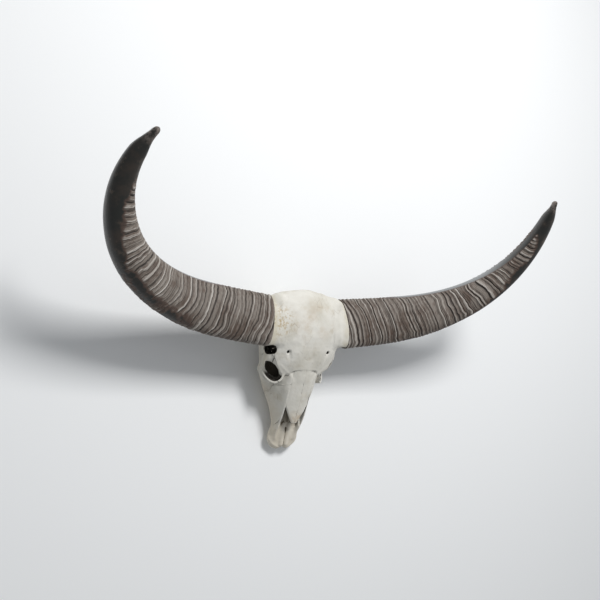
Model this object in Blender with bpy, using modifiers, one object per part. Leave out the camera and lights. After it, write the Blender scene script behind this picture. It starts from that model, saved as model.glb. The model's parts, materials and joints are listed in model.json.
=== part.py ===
"""Water-buffalo skull with its horns, hung on a wall by a folded steel bracket.

Every bone, tooth, horn core and horn sheath is a solid of its own, placed as it sits in the whole skull.
The frame: +X is the viewer's right, -Y points out of the wall, +Z is up, and the origin is the centre of
the bracket's wall face. A "depth" is a distance in front of the wall, so a point's Y is minus its depth.
Left and right are the viewer's. Sizes are in metres and angles in degrees.
"""

import math

import bmesh
import bpy
from mathutils import Matrix, Vector

# Clearances
SUTURE = 0.0006  # gap between two bones that are knit along a suture
SHEATH_CLEARANCE = 0.0008  # gap between a horn core and the sheath that slips over it
SOCKET_CLEARANCE = 0.0004  # gap round a tooth's root
SCREW_CLEARANCE = 0.0003  # gap round the shank of a bracket screw

# Horn: its heading turns from outwards to inwards along its length, and it bows out of the wall
HORN_LENGTH = 0.865
HORN_START_ANGLE = 6.0
HORN_TURN = 117.0
HORN_TURN_POWER = 2.4
HORN_LEAN = 10.0  # the horn's plane leans out of the wall by this angle
HORN_BOW = 0.33  # how far the tip stands out of that plane
HORN_BASE = (0.141, 0.163, -0.016)  # x, depth, z of the centre of the sheath's mouth
HORN_TWIST = 16.0  # turn of the section at the mouth, which unwinds towards the tip
HORN_HALF_WIDTH = 0.079
HORN_HALF_THICKNESS = 0.048
HORN_TIP_RADIUS = 0.016
HORN_WIDTH_POWER = 2.0
HORN_THICKNESS_POWER = 3.2
HORN_FRONT_SHARE = 0.75  # the front face is flatter than the back
HORN_BACK_SHARE = 1.25
SHEATH_WALL = 0.006
CORE_REACH = 0.62  # share of the sheath's length that the bony core fills
CORE_TIP_SHARE = 0.35  # the core's last section against the cavity's widest
PEDICLE_LENGTH = 0.033  # from the sheath's mouth back to the frontal bone

# Forehead: rows of z, half width, depth on the midline, depth at the edge, droop of the edge
FOREHEAD = (
    (0.066, 0.070, 0.118, 0.108, 0.010),
    (0.086, 0.085, 0.148, 0.136, 0.018),
    (0.076, 0.098, 0.180, 0.164, 0.014),
    (0.040, 0.105, 0.197, 0.187, 0.000),
    (-0.010, 0.107, 0.203, 0.192, 0.000),
    (-0.060, 0.107, 0.199, 0.183, 0.000),
    (-0.095, 0.109, 0.190, 0.166, 0.000),
    (-0.122, 0.115, 0.181, 0.150, 0.000),
    (-0.145, 0.096, 0.171, 0.143, 0.010),
    (-0.163, 0.072, 0.163, 0.131, 0.022),
)
FOREHEAD_CROWN = 2.4
FOREHEAD_WALL = 0.009
PEDICLE_SEAT = 0.085  # x from which the frontal bone swells towards the horn core's pedicle
PEDICLE_FLARE = 0.004  # how far the pedicle's foot stands out of the space inside the sheath
PEDICLE_NECK = 0.004  # how far the neck between the foot and the sheath is drawn in
SEPTUM_THICKNESS = 0.006  # the plate of bone between the two sinuses of the forehead
SEPTUM = ((-0.085, 0.150), (-0.085, 0.187), (-0.050, 0.195), (-0.010, 0.197), (0.040, 0.190), (0.050, 0.150))

# Side wall below the forehead's edge, by the braincase and the eye: rows of z and of (x, depth)
SIDE_WALL = (
    (0.052, ((0.092, 0.172), (0.076, 0.148), (0.060, 0.124))),
    (0.010, ((0.097, 0.180), (0.078, 0.152), (0.068, 0.126))),
    (-0.040, ((0.096, 0.176), (0.074, 0.148), (0.065, 0.120))),
    (-0.085, ((0.086, 0.168), (0.062, 0.140), (0.052, 0.104))),
    (-0.125, ((0.078, 0.160), (0.056, 0.128), (0.050, 0.092))),
    (-0.160, ((0.062, 0.148), (0.053, 0.120), (0.048, 0.086))),
    (-0.186, ((0.054, 0.137), (0.049, 0.114), (0.045, 0.084))),
)
SIDE_WALL_THICKNESS = 0.006

# Nasal bones: rows of z, half width, depth on the midline, depth at the outer edge
NASAL_ROOT = -0.163  # z of the middle of the seam between the nasal bones and the frontal bone
NASAL = (
    (NASAL_ROOT + 0.006, 0.034, 0.164, 0.156),
    (-0.200, 0.038, 0.150, 0.141),
    (-0.240, 0.040, 0.134, 0.124),
    (-0.280, 0.040, 0.117, 0.107),
    (-0.305, 0.031, 0.107, 0.099),
    (-0.320, 0.020, 0.101, 0.096),
    (-0.331, 0.013, 0.0965, 0.094),
)
NASAL_WALL = 0.005
NASAL_NOTCH = ((0.0055, -0.340), (0.0085, -0.314), (0.0105, -0.340))  # the fork in a nasal bone's tip

# Face: rows of z and of (x, depth) from the nasal bone round the cheek to the tooth row
FACE = (
    (-0.172, ((0.040, 0.1505), (0.060, 0.137), (0.076, 0.120), (0.092, 0.103), (0.106, 0.085), (0.110, 0.066),
              (0.080, 0.044))),
    (-0.200, ((0.041, 0.142), (0.056, 0.131), (0.070, 0.115), (0.086, 0.098), (0.100, 0.080), (0.102, 0.062),
              (0.071, 0.040))),
    (-0.225, ((0.042, 0.132), (0.053, 0.121), (0.064, 0.104), (0.075, 0.088), (0.087, 0.070), (0.089, 0.052),
              (0.061, 0.036))),
    (-0.250, ((0.0425, 0.122), (0.050, 0.110), (0.058, 0.094), (0.066, 0.078), (0.075, 0.060), (0.077, 0.046),
              (0.053, 0.033))),
    (-0.280, ((0.0425, 0.107), (0.047, 0.097), (0.052, 0.083), (0.056, 0.068), (0.060, 0.054), (0.061, 0.042),
              (0.043, 0.031))),
    (-0.310, ((0.0425, 0.091), (0.045, 0.083), (0.048, 0.071), (0.050, 0.059), (0.052, 0.048), (0.051, 0.039),
              (0.037, 0.030))),
    (-0.338, ((0.041, 0.075), (0.043, 0.068), (0.0445, 0.060), (0.0455, 0.051), (0.0455, 0.043),
              (0.0445, 0.036), (0.035, 0.029))),
    (-0.360, ((0.040, 0.055), (0.043, 0.050), (0.046, 0.044), (0.0475, 0.038), (0.048, 0.033), (0.047, 0.028),
              (0.042, 0.023))),
    (-0.380, ((0.037, 0.041), (0.041, 0.038), (0.045, 0.035), (0.048, 0.031), (0.0485, 0.028), (0.048, 0.025),
              (0.044, 0.022))),
)
MUZZLE_SEAM = ((-0.298, 0.130), (-0.318, 0.085), (-0.342, 0.048), (-0.354, 0.0))  # (z, depth), down the side
FACE_WALL = 0.006
LACRIMAL_SIDE = 0.078  # x of the seam between the lacrimal bone and the cheek bone
LACRIMAL_END = -0.212  # z of the seam between the lacrimal bone and the maxilla
CHEEK_END = -0.230  # z of the seam between the cheek bone and the maxilla
PALATE_END = -0.345
PALATE_DEPTH = 0.044
PALATE_HALF = 0.037  # reach of the palate from the midline, at the maxilla
PALATINE_HALF = 0.033  # and at the palatine bone, between the tooth rows
PALATE_WALL = 0.005
MIDLINE_GAP = SUTURE / 2

# Teeth: name and length along the row, from the front of the mouth to the back
TEETH = (
    ("premolar_2", 0.015),
    ("premolar_3", 0.018),
    ("premolar_4", 0.019),
    ("molar_1", 0.023),
    ("molar_2", 0.027),
    ("molar_3", 0.028),
)
TOOTH_GAP = 0.0012
TOOTH_ROW_START = -0.300  # z of the front end of the row, nearest the nose
TOOTH_ROW_X = 0.026
TOOTH_ROW_SPREAD = 0.034  # how much further out the back of the row stands
TOOTH_WIDTH = 0.018
TOOTH_CROWN_DEPTH = 0.010  # depth of the chewing ridges, which stay clear of the wall
TOOTH_RIDGE_HEIGHT = 0.003
TOOTH_ROOT_DEPTH = 0.036
ALVEOLAR_DEPTHS = (0.018, 0.046)
ALVEOLAR_WALL = 0.005
ALVEOLAR_FLARE = 0.003  # how much further out the tooth row's ridge reaches at its root

# Premaxilla: outline of the flat plate in x and z, and its depths
PREMAXILLA_PLATE = (
    (0.006, -0.339),
    (0.038, -0.3395),
    (0.046, -0.356),
    (0.052, -0.377),
    (0.046, -0.393),
    (0.033, -0.403),
    (0.018, -0.411),
    (0.006, -0.407),
)
PREMAXILLA_DEPTH = 0.027
PREMAXILLA_THICKNESS = 0.009
PALATINE_PROCESS = ((0.010, 0.032, -0.396), (0.008, 0.036, -0.370), (0.007, 0.040, -0.345))
PALATINE_PROCESS_RADII = (0.005, 0.0045, 0.0035)

# Eye socket
ORBIT_CENTRE = (0.100, 0.114, -0.162)
ORBIT_RADII = (0.030, 0.034, 0.028)

# Cheek bone and the arch behind it, as bars through these points (x, depth, z)
ORBIT_RIM = ((0.084, 0.108, -0.196), (0.100, 0.094, -0.196), (0.112, 0.084, -0.180), (0.121, 0.080, -0.155),
             (0.125, 0.080, -0.120))
ORBIT_RIM_RADII = (0.006, 0.008, 0.009, 0.009, 0.007)
POSTORBITAL_BAR = ((0.123, 0.082, -0.142), (0.123, 0.108, -0.136), (0.115, 0.130, -0.130),
                   (0.108, 0.147, -0.124))
POSTORBITAL_BAR_RADII = (0.009, 0.007, 0.007, 0.008)
TEMPORAL_PROCESS = ((0.125, 0.080, -0.117), (0.124, 0.080, -0.085), (0.108, 0.080, -0.052),
                    (0.056, 0.080, -0.030))
TEMPORAL_PROCESS_RADII = (0.006, 0.008, 0.009, 0.012)

# Braincase behind the forehead: an egg-shaped shell, split between several bones
BRAINCASE_CENTRE = (0.0, 0.112, -0.030)
BRAINCASE_RADII = (0.072, 0.060, 0.090)
BRAINCASE_WALL = 0.006
SUTURE_LINE = 0.020  # z of the seam that runs round the braincase in front of the occipital bone
NUCHAL = (  # rows of half width, depth on the midline, how far the edge lies back, z, and the edge's fall
    (0.070, 0.112, 0.004, 0.069, 0.000),
    (0.064, 0.098, 0.006, 0.060, 0.004),
    (0.056, 0.078, 0.010, 0.046, 0.010),
)
NUCHAL_WALL = 0.010
FORAMEN_RADIUS = 0.018
FORAMEN_CENTRE = (0.0, 0.072, 0.046)
CONDYLE = (0.029, 0.062, 0.048)
CONDYLE_RADII = (0.015, 0.020, 0.013)
BULLA = (0.044, 0.050, -0.016)
BULLA_RADII = (0.013, 0.020, 0.018)
EAR_WALL = ((0.062, 0.080, -0.020), (0.052, 0.062, -0.018))
EAR_WALL_RADII = (0.013, 0.012)
PARACONDYLAR = ((0.050, 0.084, 0.042), (0.054, 0.066, 0.030), (0.052, 0.046, 0.022))
PARACONDYLAR_RADII = (0.009, 0.007, 0.004)
VAULT_SIDE = 0.046  # x of the seam between the parietal bone and a temporal bone
VAULT_FLOOR = 0.100  # depth of the seam between the parietal bone and the sphenoid bone
BASE_DEPTH = 0.040  # depth of the flat of the skull's base, where the bracket is screwed
BASE_THICKNESS = 0.014
BASE_HALF_WIDTH = 0.024
BASE_TOP = -0.0126
BASE_BOTTOM = -0.118

# Hard palate behind the maxillae, and the plates of the rear nasal passage
PALATINE_TOP = -0.122
PALATINE_FRONT = -0.172
PALATINE_SIDE = 0.030
PALATINE_ROOF = 0.082
PALATINE_WALL = 0.005

# Inside the nose
VOMER_HALF_THICKNESS = 0.0015
VOMER_OUTLINE = ((-0.130, 0.056), (-0.330, 0.052), (-0.330, 0.064), (-0.240, 0.082), (-0.130, 0.086))
CONCHA_CENTRE = (0.021, 0.084)
CONCHA_SPAN = (-0.290, -0.190)
CONCHA_RADIUS = 0.012
CONCHA_TURNS = 1.25
CONCHA_WALL = 0.0016

# Bracket: a steel strip folded twice, with a keyhole in its wall flange
STRIP_WIDTH = 0.030
STRIP_THICKNESS = 0.003
WALL_FLANGE_HALF = 0.028
FIXING_FLANGE_LENGTH = 0.052
KEYHOLE_RADIUS = 0.0055
KEYHOLE_SLOT_HALF = 0.0028
KEYHOLE_Z = 0.009
KEYHOLE_SLOT_TOP = 0.0185
FIXING_GAP = 0.0003  # gap between the fixing flange and the bone, and under the screws' heads
SCREW_RADIUS = 0.0022
SCREW_HEAD_RADIUS = 0.0045
SCREW_HEAD_HEIGHT = 0.0028
SCREW_LENGTH = 0.013
SCREW_POINT = 0.004
SCREW_RECESS = (0.0005, 0.003, 0.001)  # half width, half length and depth of the slot in a screw's head
SCREW_INSET = 0.013  # from each end of the fixing flange to a screw's axis

# Resolution of the curved surfaces
HORN_RINGS = 24
CORE_RINGS = 10
RING_POINTS = 16
CUTTER_OVERSHOOT = 0.02


def clear_scene():
    for obj in list(bpy.data.objects):
        bpy.data.objects.remove(obj)


def collection(name):
    made = bpy.data.collections.new(name)
    bpy.context.scene.collection.children.link(made)
    return made


def material(name, colour, roughness, metallic=0.0):
    made = bpy.data.materials.new(name)
    made.use_nodes = True
    shader = made.node_tree.nodes["Principled BSDF"]
    shader.inputs["Base Color"].default_value = (*colour, 1.0)
    shader.inputs["Roughness"].default_value = roughness
    shader.inputs["Metallic"].default_value = metallic
    made.diffuse_color = (*colour, 1.0)
    return made


def at(x, depth, z):
    """The point at that depth in front of the wall."""
    return Vector((x, -depth, z))


def mesh_object(name, points, faces):
    mesh = bpy.data.meshes.new(name)
    mesh.from_pydata([tuple(p) for p in points], [], faces)
    work = bmesh.new()
    work.from_mesh(mesh)
    bmesh.ops.recalc_face_normals(work, faces=work.faces)
    work.to_mesh(mesh)
    work.free()
    obj = bpy.data.objects.new(name, mesh)
    bpy.context.scene.collection.objects.link(obj)
    return obj


def sheet_of(name, rows):
    """An open surface through rows of points, each row with as many points as the last."""
    across = len(rows[0])
    faces = [
        (r * across + c, r * across + c + 1, (r + 1) * across + c + 1, (r + 1) * across + c)
        for r in range(len(rows) - 1)
        for c in range(across - 1)
    ]
    return mesh_object(name, [p for row in rows for p in row], faces)


def loft(name, rings):
    """A closed solid through rings of points, with a flat end at the first and the last."""
    around = len(rings[0])
    faces = []
    for ring in range(0, (len(rings) - 1) * around, around):
        for c in range(around):
            after = (c + 1) % around
            faces.append((ring + c, ring + after, ring + around + after, ring + around + c))
    last = (len(rings) - 1) * around
    faces.append(tuple(range(around)))
    faces.append(tuple(last + c for c in range(around)))
    return mesh_object(name, [p for ring in rings for p in ring], faces)


def as_mesh(obj):
    """The object with its modifiers applied, or its curve turned into a closed mesh."""
    bpy.context.view_layer.update()
    graph = bpy.context.evaluated_depsgraph_get()
    mesh = bpy.data.meshes.new_from_object(obj.evaluated_get(graph))
    work = bmesh.new()
    work.from_mesh(mesh)
    bmesh.ops.remove_doubles(work, verts=work.verts, dist=1e-6)
    if obj.type == "CURVE":
        bmesh.ops.recalc_face_normals(work, faces=work.faces)
    work.to_mesh(mesh)
    work.free()
    made = bpy.data.objects.new(obj.name, mesh)
    made.matrix_world = obj.matrix_world.copy()
    name = obj.name
    bpy.data.objects.remove(obj)
    made.name = name
    bpy.context.scene.collection.objects.link(made)
    return made


def thicken(obj, wall):
    """Gives an open surface a wall, on the side away from its normals."""
    solid = obj.modifiers.new("wall", "SOLIDIFY")
    solid.thickness = wall
    solid.offset = -1.0
    solid.use_even_offset = True
    return as_mesh(obj)


def face_forward(obj):
    """Turns an open surface's normals out of the wall."""
    if sum(face.normal.y * face.area for face in obj.data.polygons) > 0:
        obj.data.flip_normals()
    return obj


def combine(obj, others, operation):
    """Joins the others to the object, or cuts them from it, and removes them."""
    for other in others:
        boolean = obj.modifiers.new(operation.lower(), "BOOLEAN")
        boolean.operation = operation
        boolean.solver = "EXACT"
        boolean.use_self = True
        boolean.object = other
        obj = as_mesh(obj)
        bpy.data.objects.remove(other)
    return obj


def region(shell, name, low, high):
    """The piece of a shell inside a box."""
    piece = bpy.data.objects.new(name, shell.data.copy())
    bpy.context.scene.collection.objects.link(piece)
    return combine(piece, [block("region", low, high)], "INTERSECT")


def trim_midline(obj):
    """Cuts a piece of the right side back from the skull's mid-plane."""
    return combine(obj, [block("midline", (-0.2, -0.1, -0.6), (MIDLINE_GAP, 0.4, 0.2))], "DIFFERENCE")


def mirrored(obj):
    """Replaces the left half of a piece that crosses the mid-plane with its right half's mirror image."""
    mirror = obj.modifiers.new("mirror", "MIRROR")
    mirror.use_axis = (True, False, False)
    mirror.use_bisect_axis = (True, False, False)
    mirror.merge_threshold = 1e-5
    mirror.bisect_threshold = 1e-6
    return as_mesh(obj)


def knit(obj, *neighbours, gap=SUTURE):
    """Cuts the object back from its neighbours, so that a gap as wide as a suture is left between them."""
    for neighbour in neighbours:
        grown = bpy.data.objects.new(neighbour.name + "_grown", neighbour.data.copy())
        bpy.context.scene.collection.objects.link(grown)
        swell = grown.modifiers.new("gap", "DISPLACE")
        swell.strength = gap
        swell.mid_level = 0.0
        obj = combine(obj, [as_mesh(grown)], "DIFFERENCE")
    return obj


def largest_body(obj):
    """Keeps the biggest of the object's loose bodies, where a cut has left a chip behind."""
    work = bmesh.new()
    work.from_mesh(obj.data)
    unseen = set(work.verts)
    bodies = []
    while unseen:
        stack = [unseen.pop()]
        body = set(stack)
        while stack:
            vert = stack.pop()
            for edge in vert.link_edges:
                other = edge.other_vert(vert)
                if other in unseen:
                    unseen.discard(other)
                    body.add(other)
                    stack.append(other)
        bodies.append(body)
    bodies.sort(key=len)
    bmesh.ops.delete(work, geom=[v for body in bodies[:-1] for v in body], context="VERTS")
    work.to_mesh(obj.data)
    work.free()
    return obj


def smooth_path(points, steps):
    """Points on a smooth curve through the given ones, with that many steps between each two."""
    ends = [2 * points[0] - points[1], *points, 2 * points[-1] - points[-2]]
    path = []
    for a, b, c, d in zip(ends, ends[1:], ends[2:], ends[3:]):
        for step in range(steps):
            t = step / steps
            curve = (2 * a - 5 * b + 4 * c - d) * t**2 + (3 * b - a - 3 * c + d) * t**3
            path.append(0.5 * (2 * b + (c - a) * t + curve))
    return [*path, points[-1]]


def table_rows(table, steps):
    """The rows of a table, with smooth rows between them."""
    return [tuple(row) for row in smooth_path([Vector(row) for row in table], steps)]


def bar(name, points, radii, steps=3, resolution=2):
    """A round bar along a smooth path of (x, depth, z) points, with a radius at each."""
    stations = smooth_path([Vector((*at(*p), r)) for p, r in zip(points, radii)], steps)
    curve = bpy.data.curves.new(name, "CURVE")
    curve.dimensions = "3D"
    curve.bevel_depth = 1.0
    curve.bevel_resolution = resolution
    curve.use_fill_caps = True
    spline = curve.splines.new("POLY")
    spline.points.add(len(stations) - 1)
    for point, station in zip(spline.points, stations):
        point.co = (station[0], station[1], station[2], 1.0)
        point.radius = station[3]
    obj = bpy.data.objects.new(name, curve)
    bpy.context.scene.collection.objects.link(obj)
    return as_mesh(obj)


def ball(name, centre, radii, segments=16, rings=10):
    """An ellipsoid about an (x, depth, z) centre."""
    mesh = bpy.data.meshes.new(name)
    work = bmesh.new()
    bmesh.ops.create_uvsphere(work, u_segments=segments, v_segments=rings, radius=1.0)
    bmesh.ops.scale(work, vec=Vector(radii), verts=work.verts)
    bmesh.ops.translate(work, vec=at(*centre), verts=work.verts)
    work.to_mesh(mesh)
    work.free()
    obj = bpy.data.objects.new(name, mesh)
    bpy.context.scene.collection.objects.link(obj)
    return obj


def block(name, low, high):
    """A box between two (x, depth, z) corners."""
    mesh = bpy.data.meshes.new(name)
    work = bmesh.new()
    bmesh.ops.create_cube(work, size=1.0)
    size = Vector([abs(h - l) for l, h in zip(low, high)])
    middle = [(l + h) / 2 for l, h in zip(low, high)]
    bmesh.ops.scale(work, vec=size, verts=work.verts)
    bmesh.ops.translate(work, vec=at(*middle), verts=work.verts)
    work.to_mesh(mesh)
    work.free()
    obj = bpy.data.objects.new(name, mesh)
    bpy.context.scene.collection.objects.link(obj)
    return obj


def rod(name, centre, radius, depth_span, segments=24):
    """A cylinder along the depth direction, through an (x, z) centre."""
    mesh = bpy.data.meshes.new(name)
    work = bmesh.new()
    bmesh.ops.create_cone(
        work,
        cap_ends=True,
        segments=segments,
        radius1=radius,
        radius2=radius,
        depth=depth_span[1] - depth_span[0],
        matrix=Matrix.Rotation(math.pi / 2, 4, "X"),
    )
    bmesh.ops.translate(work, vec=at(centre[0], sum(depth_span) / 2, centre[1]), verts=work.verts)
    work.to_mesh(mesh)
    work.free()
    obj = bpy.data.objects.new(name, mesh)
    bpy.context.scene.collection.objects.link(obj)
    return obj


def plate(name, outline, thickness, place):
    """A flat plate: a filled 2D curve through the outline's points, set in the frame by a matrix."""
    curve = bpy.data.curves.new(name, "CURVE")
    curve.dimensions = "2D"
    curve.fill_mode = "BOTH"
    curve.extrude = thickness / 2
    spline = curve.splines.new("POLY")
    spline.points.add(len(outline) - 1)
    spline.use_cyclic_u = True
    for point, (u, v) in zip(spline.points, outline):
        point.co = (u, v, 0.0, 1.0)
    obj = bpy.data.objects.new(name, curve)
    obj.matrix_world = place
    bpy.context.scene.collection.objects.link(obj)
    obj = as_mesh(obj)
    obj.data.transform(obj.matrix_world)
    obj.matrix_world = Matrix.Identity(4)
    return obj


def facing_wall(depth):
    """A matrix that lays a plate's outline, given in x and z, parallel to the wall at that depth."""
    return Matrix.Translation(at(0, depth, 0)) @ Matrix.Rotation(math.pi / 2, 4, "X")


def facing_side(x):
    """A matrix that lays a plate's outline, given in z and depth, square to X."""
    turn = Matrix(((0, 0, 1, 0), (0, -1, 0, 0), (1, 0, 0, 0), (0, 0, 0, 1)))
    return Matrix.Translation((x, 0, 0)) @ turn


# ---- horns ----


def horn_stations(count):
    """Centres and section axes along the horn: (share of length, centre, tangent, width axis, front axis)."""
    fine = 400
    lean = math.radians(HORN_LEAN)
    across = Vector((1, 0, 0))
    up = Vector((0, -math.sin(lean), math.cos(lean)))
    out = Vector((0, -math.cos(lean), -math.sin(lean)))
    flat = at(*HORN_BASE)
    step = HORN_LENGTH / fine
    centres = []
    headings = []
    for i in range(fine + 1):
        t = i / fine
        heading = math.radians(HORN_START_ANGLE + HORN_TURN * t**HORN_TURN_POWER)
        centres.append(flat + out * HORN_BOW * t * t)
        headings.append(heading)
        flat = flat + (across * math.cos(heading) + up * math.sin(heading)) * step
    stations = []
    for n in range(count + 1):
        t = n / count
        i = round(t * fine)
        tangent = (centres[min(i + 1, fine)] - centres[max(i - 1, 0)]).normalized()
        width = -across * math.sin(headings[i]) + up * math.cos(headings[i])
        width = (width - tangent * width.dot(tangent)).normalized()
        front = width.cross(tangent)
        if front.dot(out) < 0:
            front = -front
        twist = math.radians(HORN_TWIST) * (1 - t)
        width, front = (
            width * math.cos(twist) - front * math.sin(twist),
            width * math.sin(twist) + front * math.cos(twist),
        )
        stations.append((t, centres[i], tangent, width, front))
    return stations


def horn_half_sizes(t):
    """Half width and half thickness of the horn's outside."""
    width = HORN_TIP_RADIUS + (HORN_HALF_WIDTH - HORN_TIP_RADIUS) * (1 - t**HORN_WIDTH_POWER)
    thickness = HORN_TIP_RADIUS + (HORN_HALF_THICKNESS - HORN_TIP_RADIUS) * (1 - t**HORN_THICKNESS_POWER)
    return width, thickness


def horn_ring(station, inset=0.0, shrink=1.0):
    """The horn's section at a station, moved in by an inset and then scaled."""
    t, centre, _, width_axis, front_axis = station
    half_width, half_thickness = horn_half_sizes(t)
    ring = []
    for k in range(RING_POINTS):
        angle = 2 * math.pi * k / RING_POINTS
        share = HORN_FRONT_SHARE if math.sin(angle) > 0 else HORN_BACK_SHARE
        wide = (half_width - inset) * shrink * math.cos(angle)
        thick = (half_thickness * share - inset) * shrink * math.sin(angle)
        ring.append(centre + width_axis * wide + front_axis * thick)
    return ring


def tip_rings(station, count=3):
    """Rings that round off the horn's tip beyond its last station."""
    rings = []
    for k in range(1, count + 1):
        angle = math.pi / 2 * k / (count + 0.5)
        t, centre, tangent, width_axis, front_axis = station
        moved = (t, centre + tangent * HORN_TIP_RADIUS * math.sin(angle), tangent, width_axis, front_axis)
        rings.append(horn_ring(moved, shrink=math.cos(angle)))
    return rings


def core_shrink(t):
    """How much narrower the core is than the cavity would be with an even wall."""
    return 1 - (1 - CORE_TIP_SHARE) * (t / CORE_REACH) ** 2


def horn_sheath(name):
    """The hollow keratin sheath, open at its mouth."""
    stations = horn_stations(HORN_RINGS)
    inside = [s for s in horn_stations(2 * CORE_RINGS) if s[0] <= CORE_REACH + 0.001]
    rings = [horn_ring(s, inset=SHEATH_WALL, shrink=core_shrink(s[0])) for s in reversed(inside)]
    beyond = inside[-1][2] * SHEATH_CLEARANCE * 2
    rings[0] = [p + beyond for p in rings[0]]
    rings += [horn_ring(s) for s in stations]
    rings += tip_rings(stations[-1])
    return loft(name, rings)


def pedicle_ring(back, grow):
    """The pedicle's section that far behind the sheath's mouth."""
    t, centre, tangent, *axes = horn_stations(HORN_RINGS)[0]
    return horn_ring((t, centre - tangent * back, tangent, *axes), inset=SHEATH_WALL - grow)


def horn_core(name):
    """The bony core, from its pedicle on the frontal bone to its blunt end inside the sheath."""
    inside = [s for s in horn_stations(2 * CORE_RINGS) if s[0] <= CORE_REACH + 0.001]
    rings = [
        pedicle_ring(PEDICLE_LENGTH, PEDICLE_FLARE),
        pedicle_ring(0.6 * PEDICLE_LENGTH, -PEDICLE_NECK),
        pedicle_ring(0.25 * PEDICLE_LENGTH, -PEDICLE_NECK),
    ]
    rings += [horn_ring(s, inset=SHEATH_WALL + SHEATH_CLEARANCE, shrink=core_shrink(s[0])) for s in inside]
    return loft(name, rings)


# ---- bones of the face ----


def forehead_rows(columns):
    rows = []
    for z, half_width, middle, edge, droop in table_rows(FOREHEAD, 2):
        row = []
        for c in range(columns + 1):
            u = 2 * c / columns - 1
            depth = edge + (middle - edge) * (1 - abs(u) ** FOREHEAD_CROWN)
            row.append(at(half_width * u, depth, z - droop * u * u))
        rows.append(row)
    return rows


def pedicle_seat():
    """The wall of the frontal bone that carries a horn core."""
    mouth = horn_stations(HORN_RINGS)[0]
    inner = [Vector((PEDICLE_SEAT, point.y, point.z)) for point in horn_ring(mouth, inset=3 * SHEATH_WALL)]
    outer = pedicle_ring(PEDICLE_LENGTH - SHEATH_WALL / 2, PEDICLE_FLARE - SUTURE)
    return loft("pedicle_seat", [inner, outer])


def side_wall():
    """The wall from the forehead's edge down past the braincase to the inner side of the eye socket."""
    rows = [smooth_path([at(x, depth, z) for x, depth in points], 2) for z, points in SIDE_WALL]
    columns = [smooth_path(list(column), 2) for column in zip(*rows)]
    sheet = sheet_of("side_wall", columns)
    if sum(face.normal.x for face in sheet.data.polygons) < 0:
        sheet.data.flip_normals()
    return thicken(sheet, SIDE_WALL_THICKNESS)


def orbit_cutter():
    return ball("orbit_cutter", ORBIT_CENTRE, ORBIT_RADII)


def frontal_bone(core):
    shell = thicken(face_forward(sheet_of("frontal_bone", forehead_rows(12))), FOREHEAD_WALL)
    septum = plate("septum", SEPTUM, SEPTUM_THICKNESS, facing_side(0.0))
    shell = combine(shell, [side_wall(), pedicle_seat(), septum], "UNION")
    shell = combine(shell, [orbit_cutter()], "DIFFERENCE")
    return largest_body(mirrored(knit(shell, core)))


def nasal_bone(name):
    rows = []
    for z, half_width, middle, edge in table_rows(NASAL, 2):
        row = []
        for c in range(5):
            u = c / 4
            row.append(at(half_width * u, edge + (middle - edge) * (1 - u**2), z))
        rows.append(row)
    bone = trim_midline(thicken(face_forward(sheet_of(name, rows)), NASAL_WALL))
    return combine(bone, [plate("notch", NASAL_NOTCH, 0.06, facing_wall(NASAL[-1][2]))], "DIFFERENCE")


def face_shell():
    """The outer wall of one side of the face, from the nasal bone and the eye socket to the teeth."""
    rows = [smooth_path([at(x, depth, z) for x, depth in points], 2) for z, points in FACE]
    columns = [smooth_path(list(column), 2) for column in zip(*rows)]
    shell = thicken(face_forward(sheet_of("face", columns)), FACE_WALL)
    return combine(shell, [orbit_cutter()], "DIFFERENCE")


def tooth_places():
    """(name, z of the middle, length, x) of each tooth of one side."""
    z = TOOTH_ROW_START
    whole = sum(length + TOOTH_GAP for _, length in TEETH)
    places = []
    for name, length in TEETH:
        middle = z + length / 2
        share = (middle - TOOTH_ROW_START) / whole
        places.append((name, middle, length, TOOTH_ROW_X + TOOTH_ROW_SPREAD * share))
        z += length + TOOTH_GAP
    return places


def tooth(name, place):
    """A cheek tooth: a crown with two chewing ridges on a tapered root."""
    _, z, length, x = place
    half_width, half_length = TOOTH_WIDTH / 2, length / 2
    profile = (
        (TOOTH_CROWN_DEPTH + 0.7 * TOOTH_RIDGE_HEIGHT, 0.86),
        (TOOTH_CROWN_DEPTH + 1.7 * TOOTH_RIDGE_HEIGHT, 0.98),
        (ALVEOLAR_DEPTHS[0] - 0.002, 1.0),
        (ALVEOLAR_DEPTHS[0] + 0.002, 0.92),
        (TOOTH_ROOT_DEPTH, 0.62),
    )
    corners = ((1, 0.45), (0.45, 1), (-0.45, 1), (-1, 0.45), (-1, -0.45), (-0.45, -1), (0.45, -1), (1, -0.45))
    rings = [
        [at(x + u * half_width * share, depth, z + v * half_length * share) for u, v in corners]
        for depth, share in profile
    ]
    crown = loft(name, rings)
    radii = (0.32 * TOOTH_WIDTH, TOOTH_RIDGE_HEIGHT, 0.15 * length)
    depth = TOOTH_CROWN_DEPTH + TOOTH_RIDGE_HEIGHT
    ridges = [ball("ridge", (x, depth, z + side * 0.22 * length), radii, 6, 5) for side in (-1, 1)]
    return combine(crown, ridges, "UNION")


def tooth_row_block():
    """The ridge of bone that holds the teeth."""
    places = tooth_places()
    low = places[0][1] - places[0][2] / 2 - ALVEOLAR_WALL
    high = places[-1][1] + places[-1][2] / 2 + ALVEOLAR_WALL
    half = TOOTH_WIDTH / 2 + ALVEOLAR_WALL
    rings = []
    for z, x in ((low, places[0][3]), (high, places[-1][3])):
        front, back = ALVEOLAR_DEPTHS
        outer = x + half + ALVEOLAR_FLARE
        inner = x - half
        rings.append([at(inner, front, z), at(x + half, front, z), at(outer, back, z), at(inner, back, z)])
    return loft("tooth_row", rings)


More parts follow.
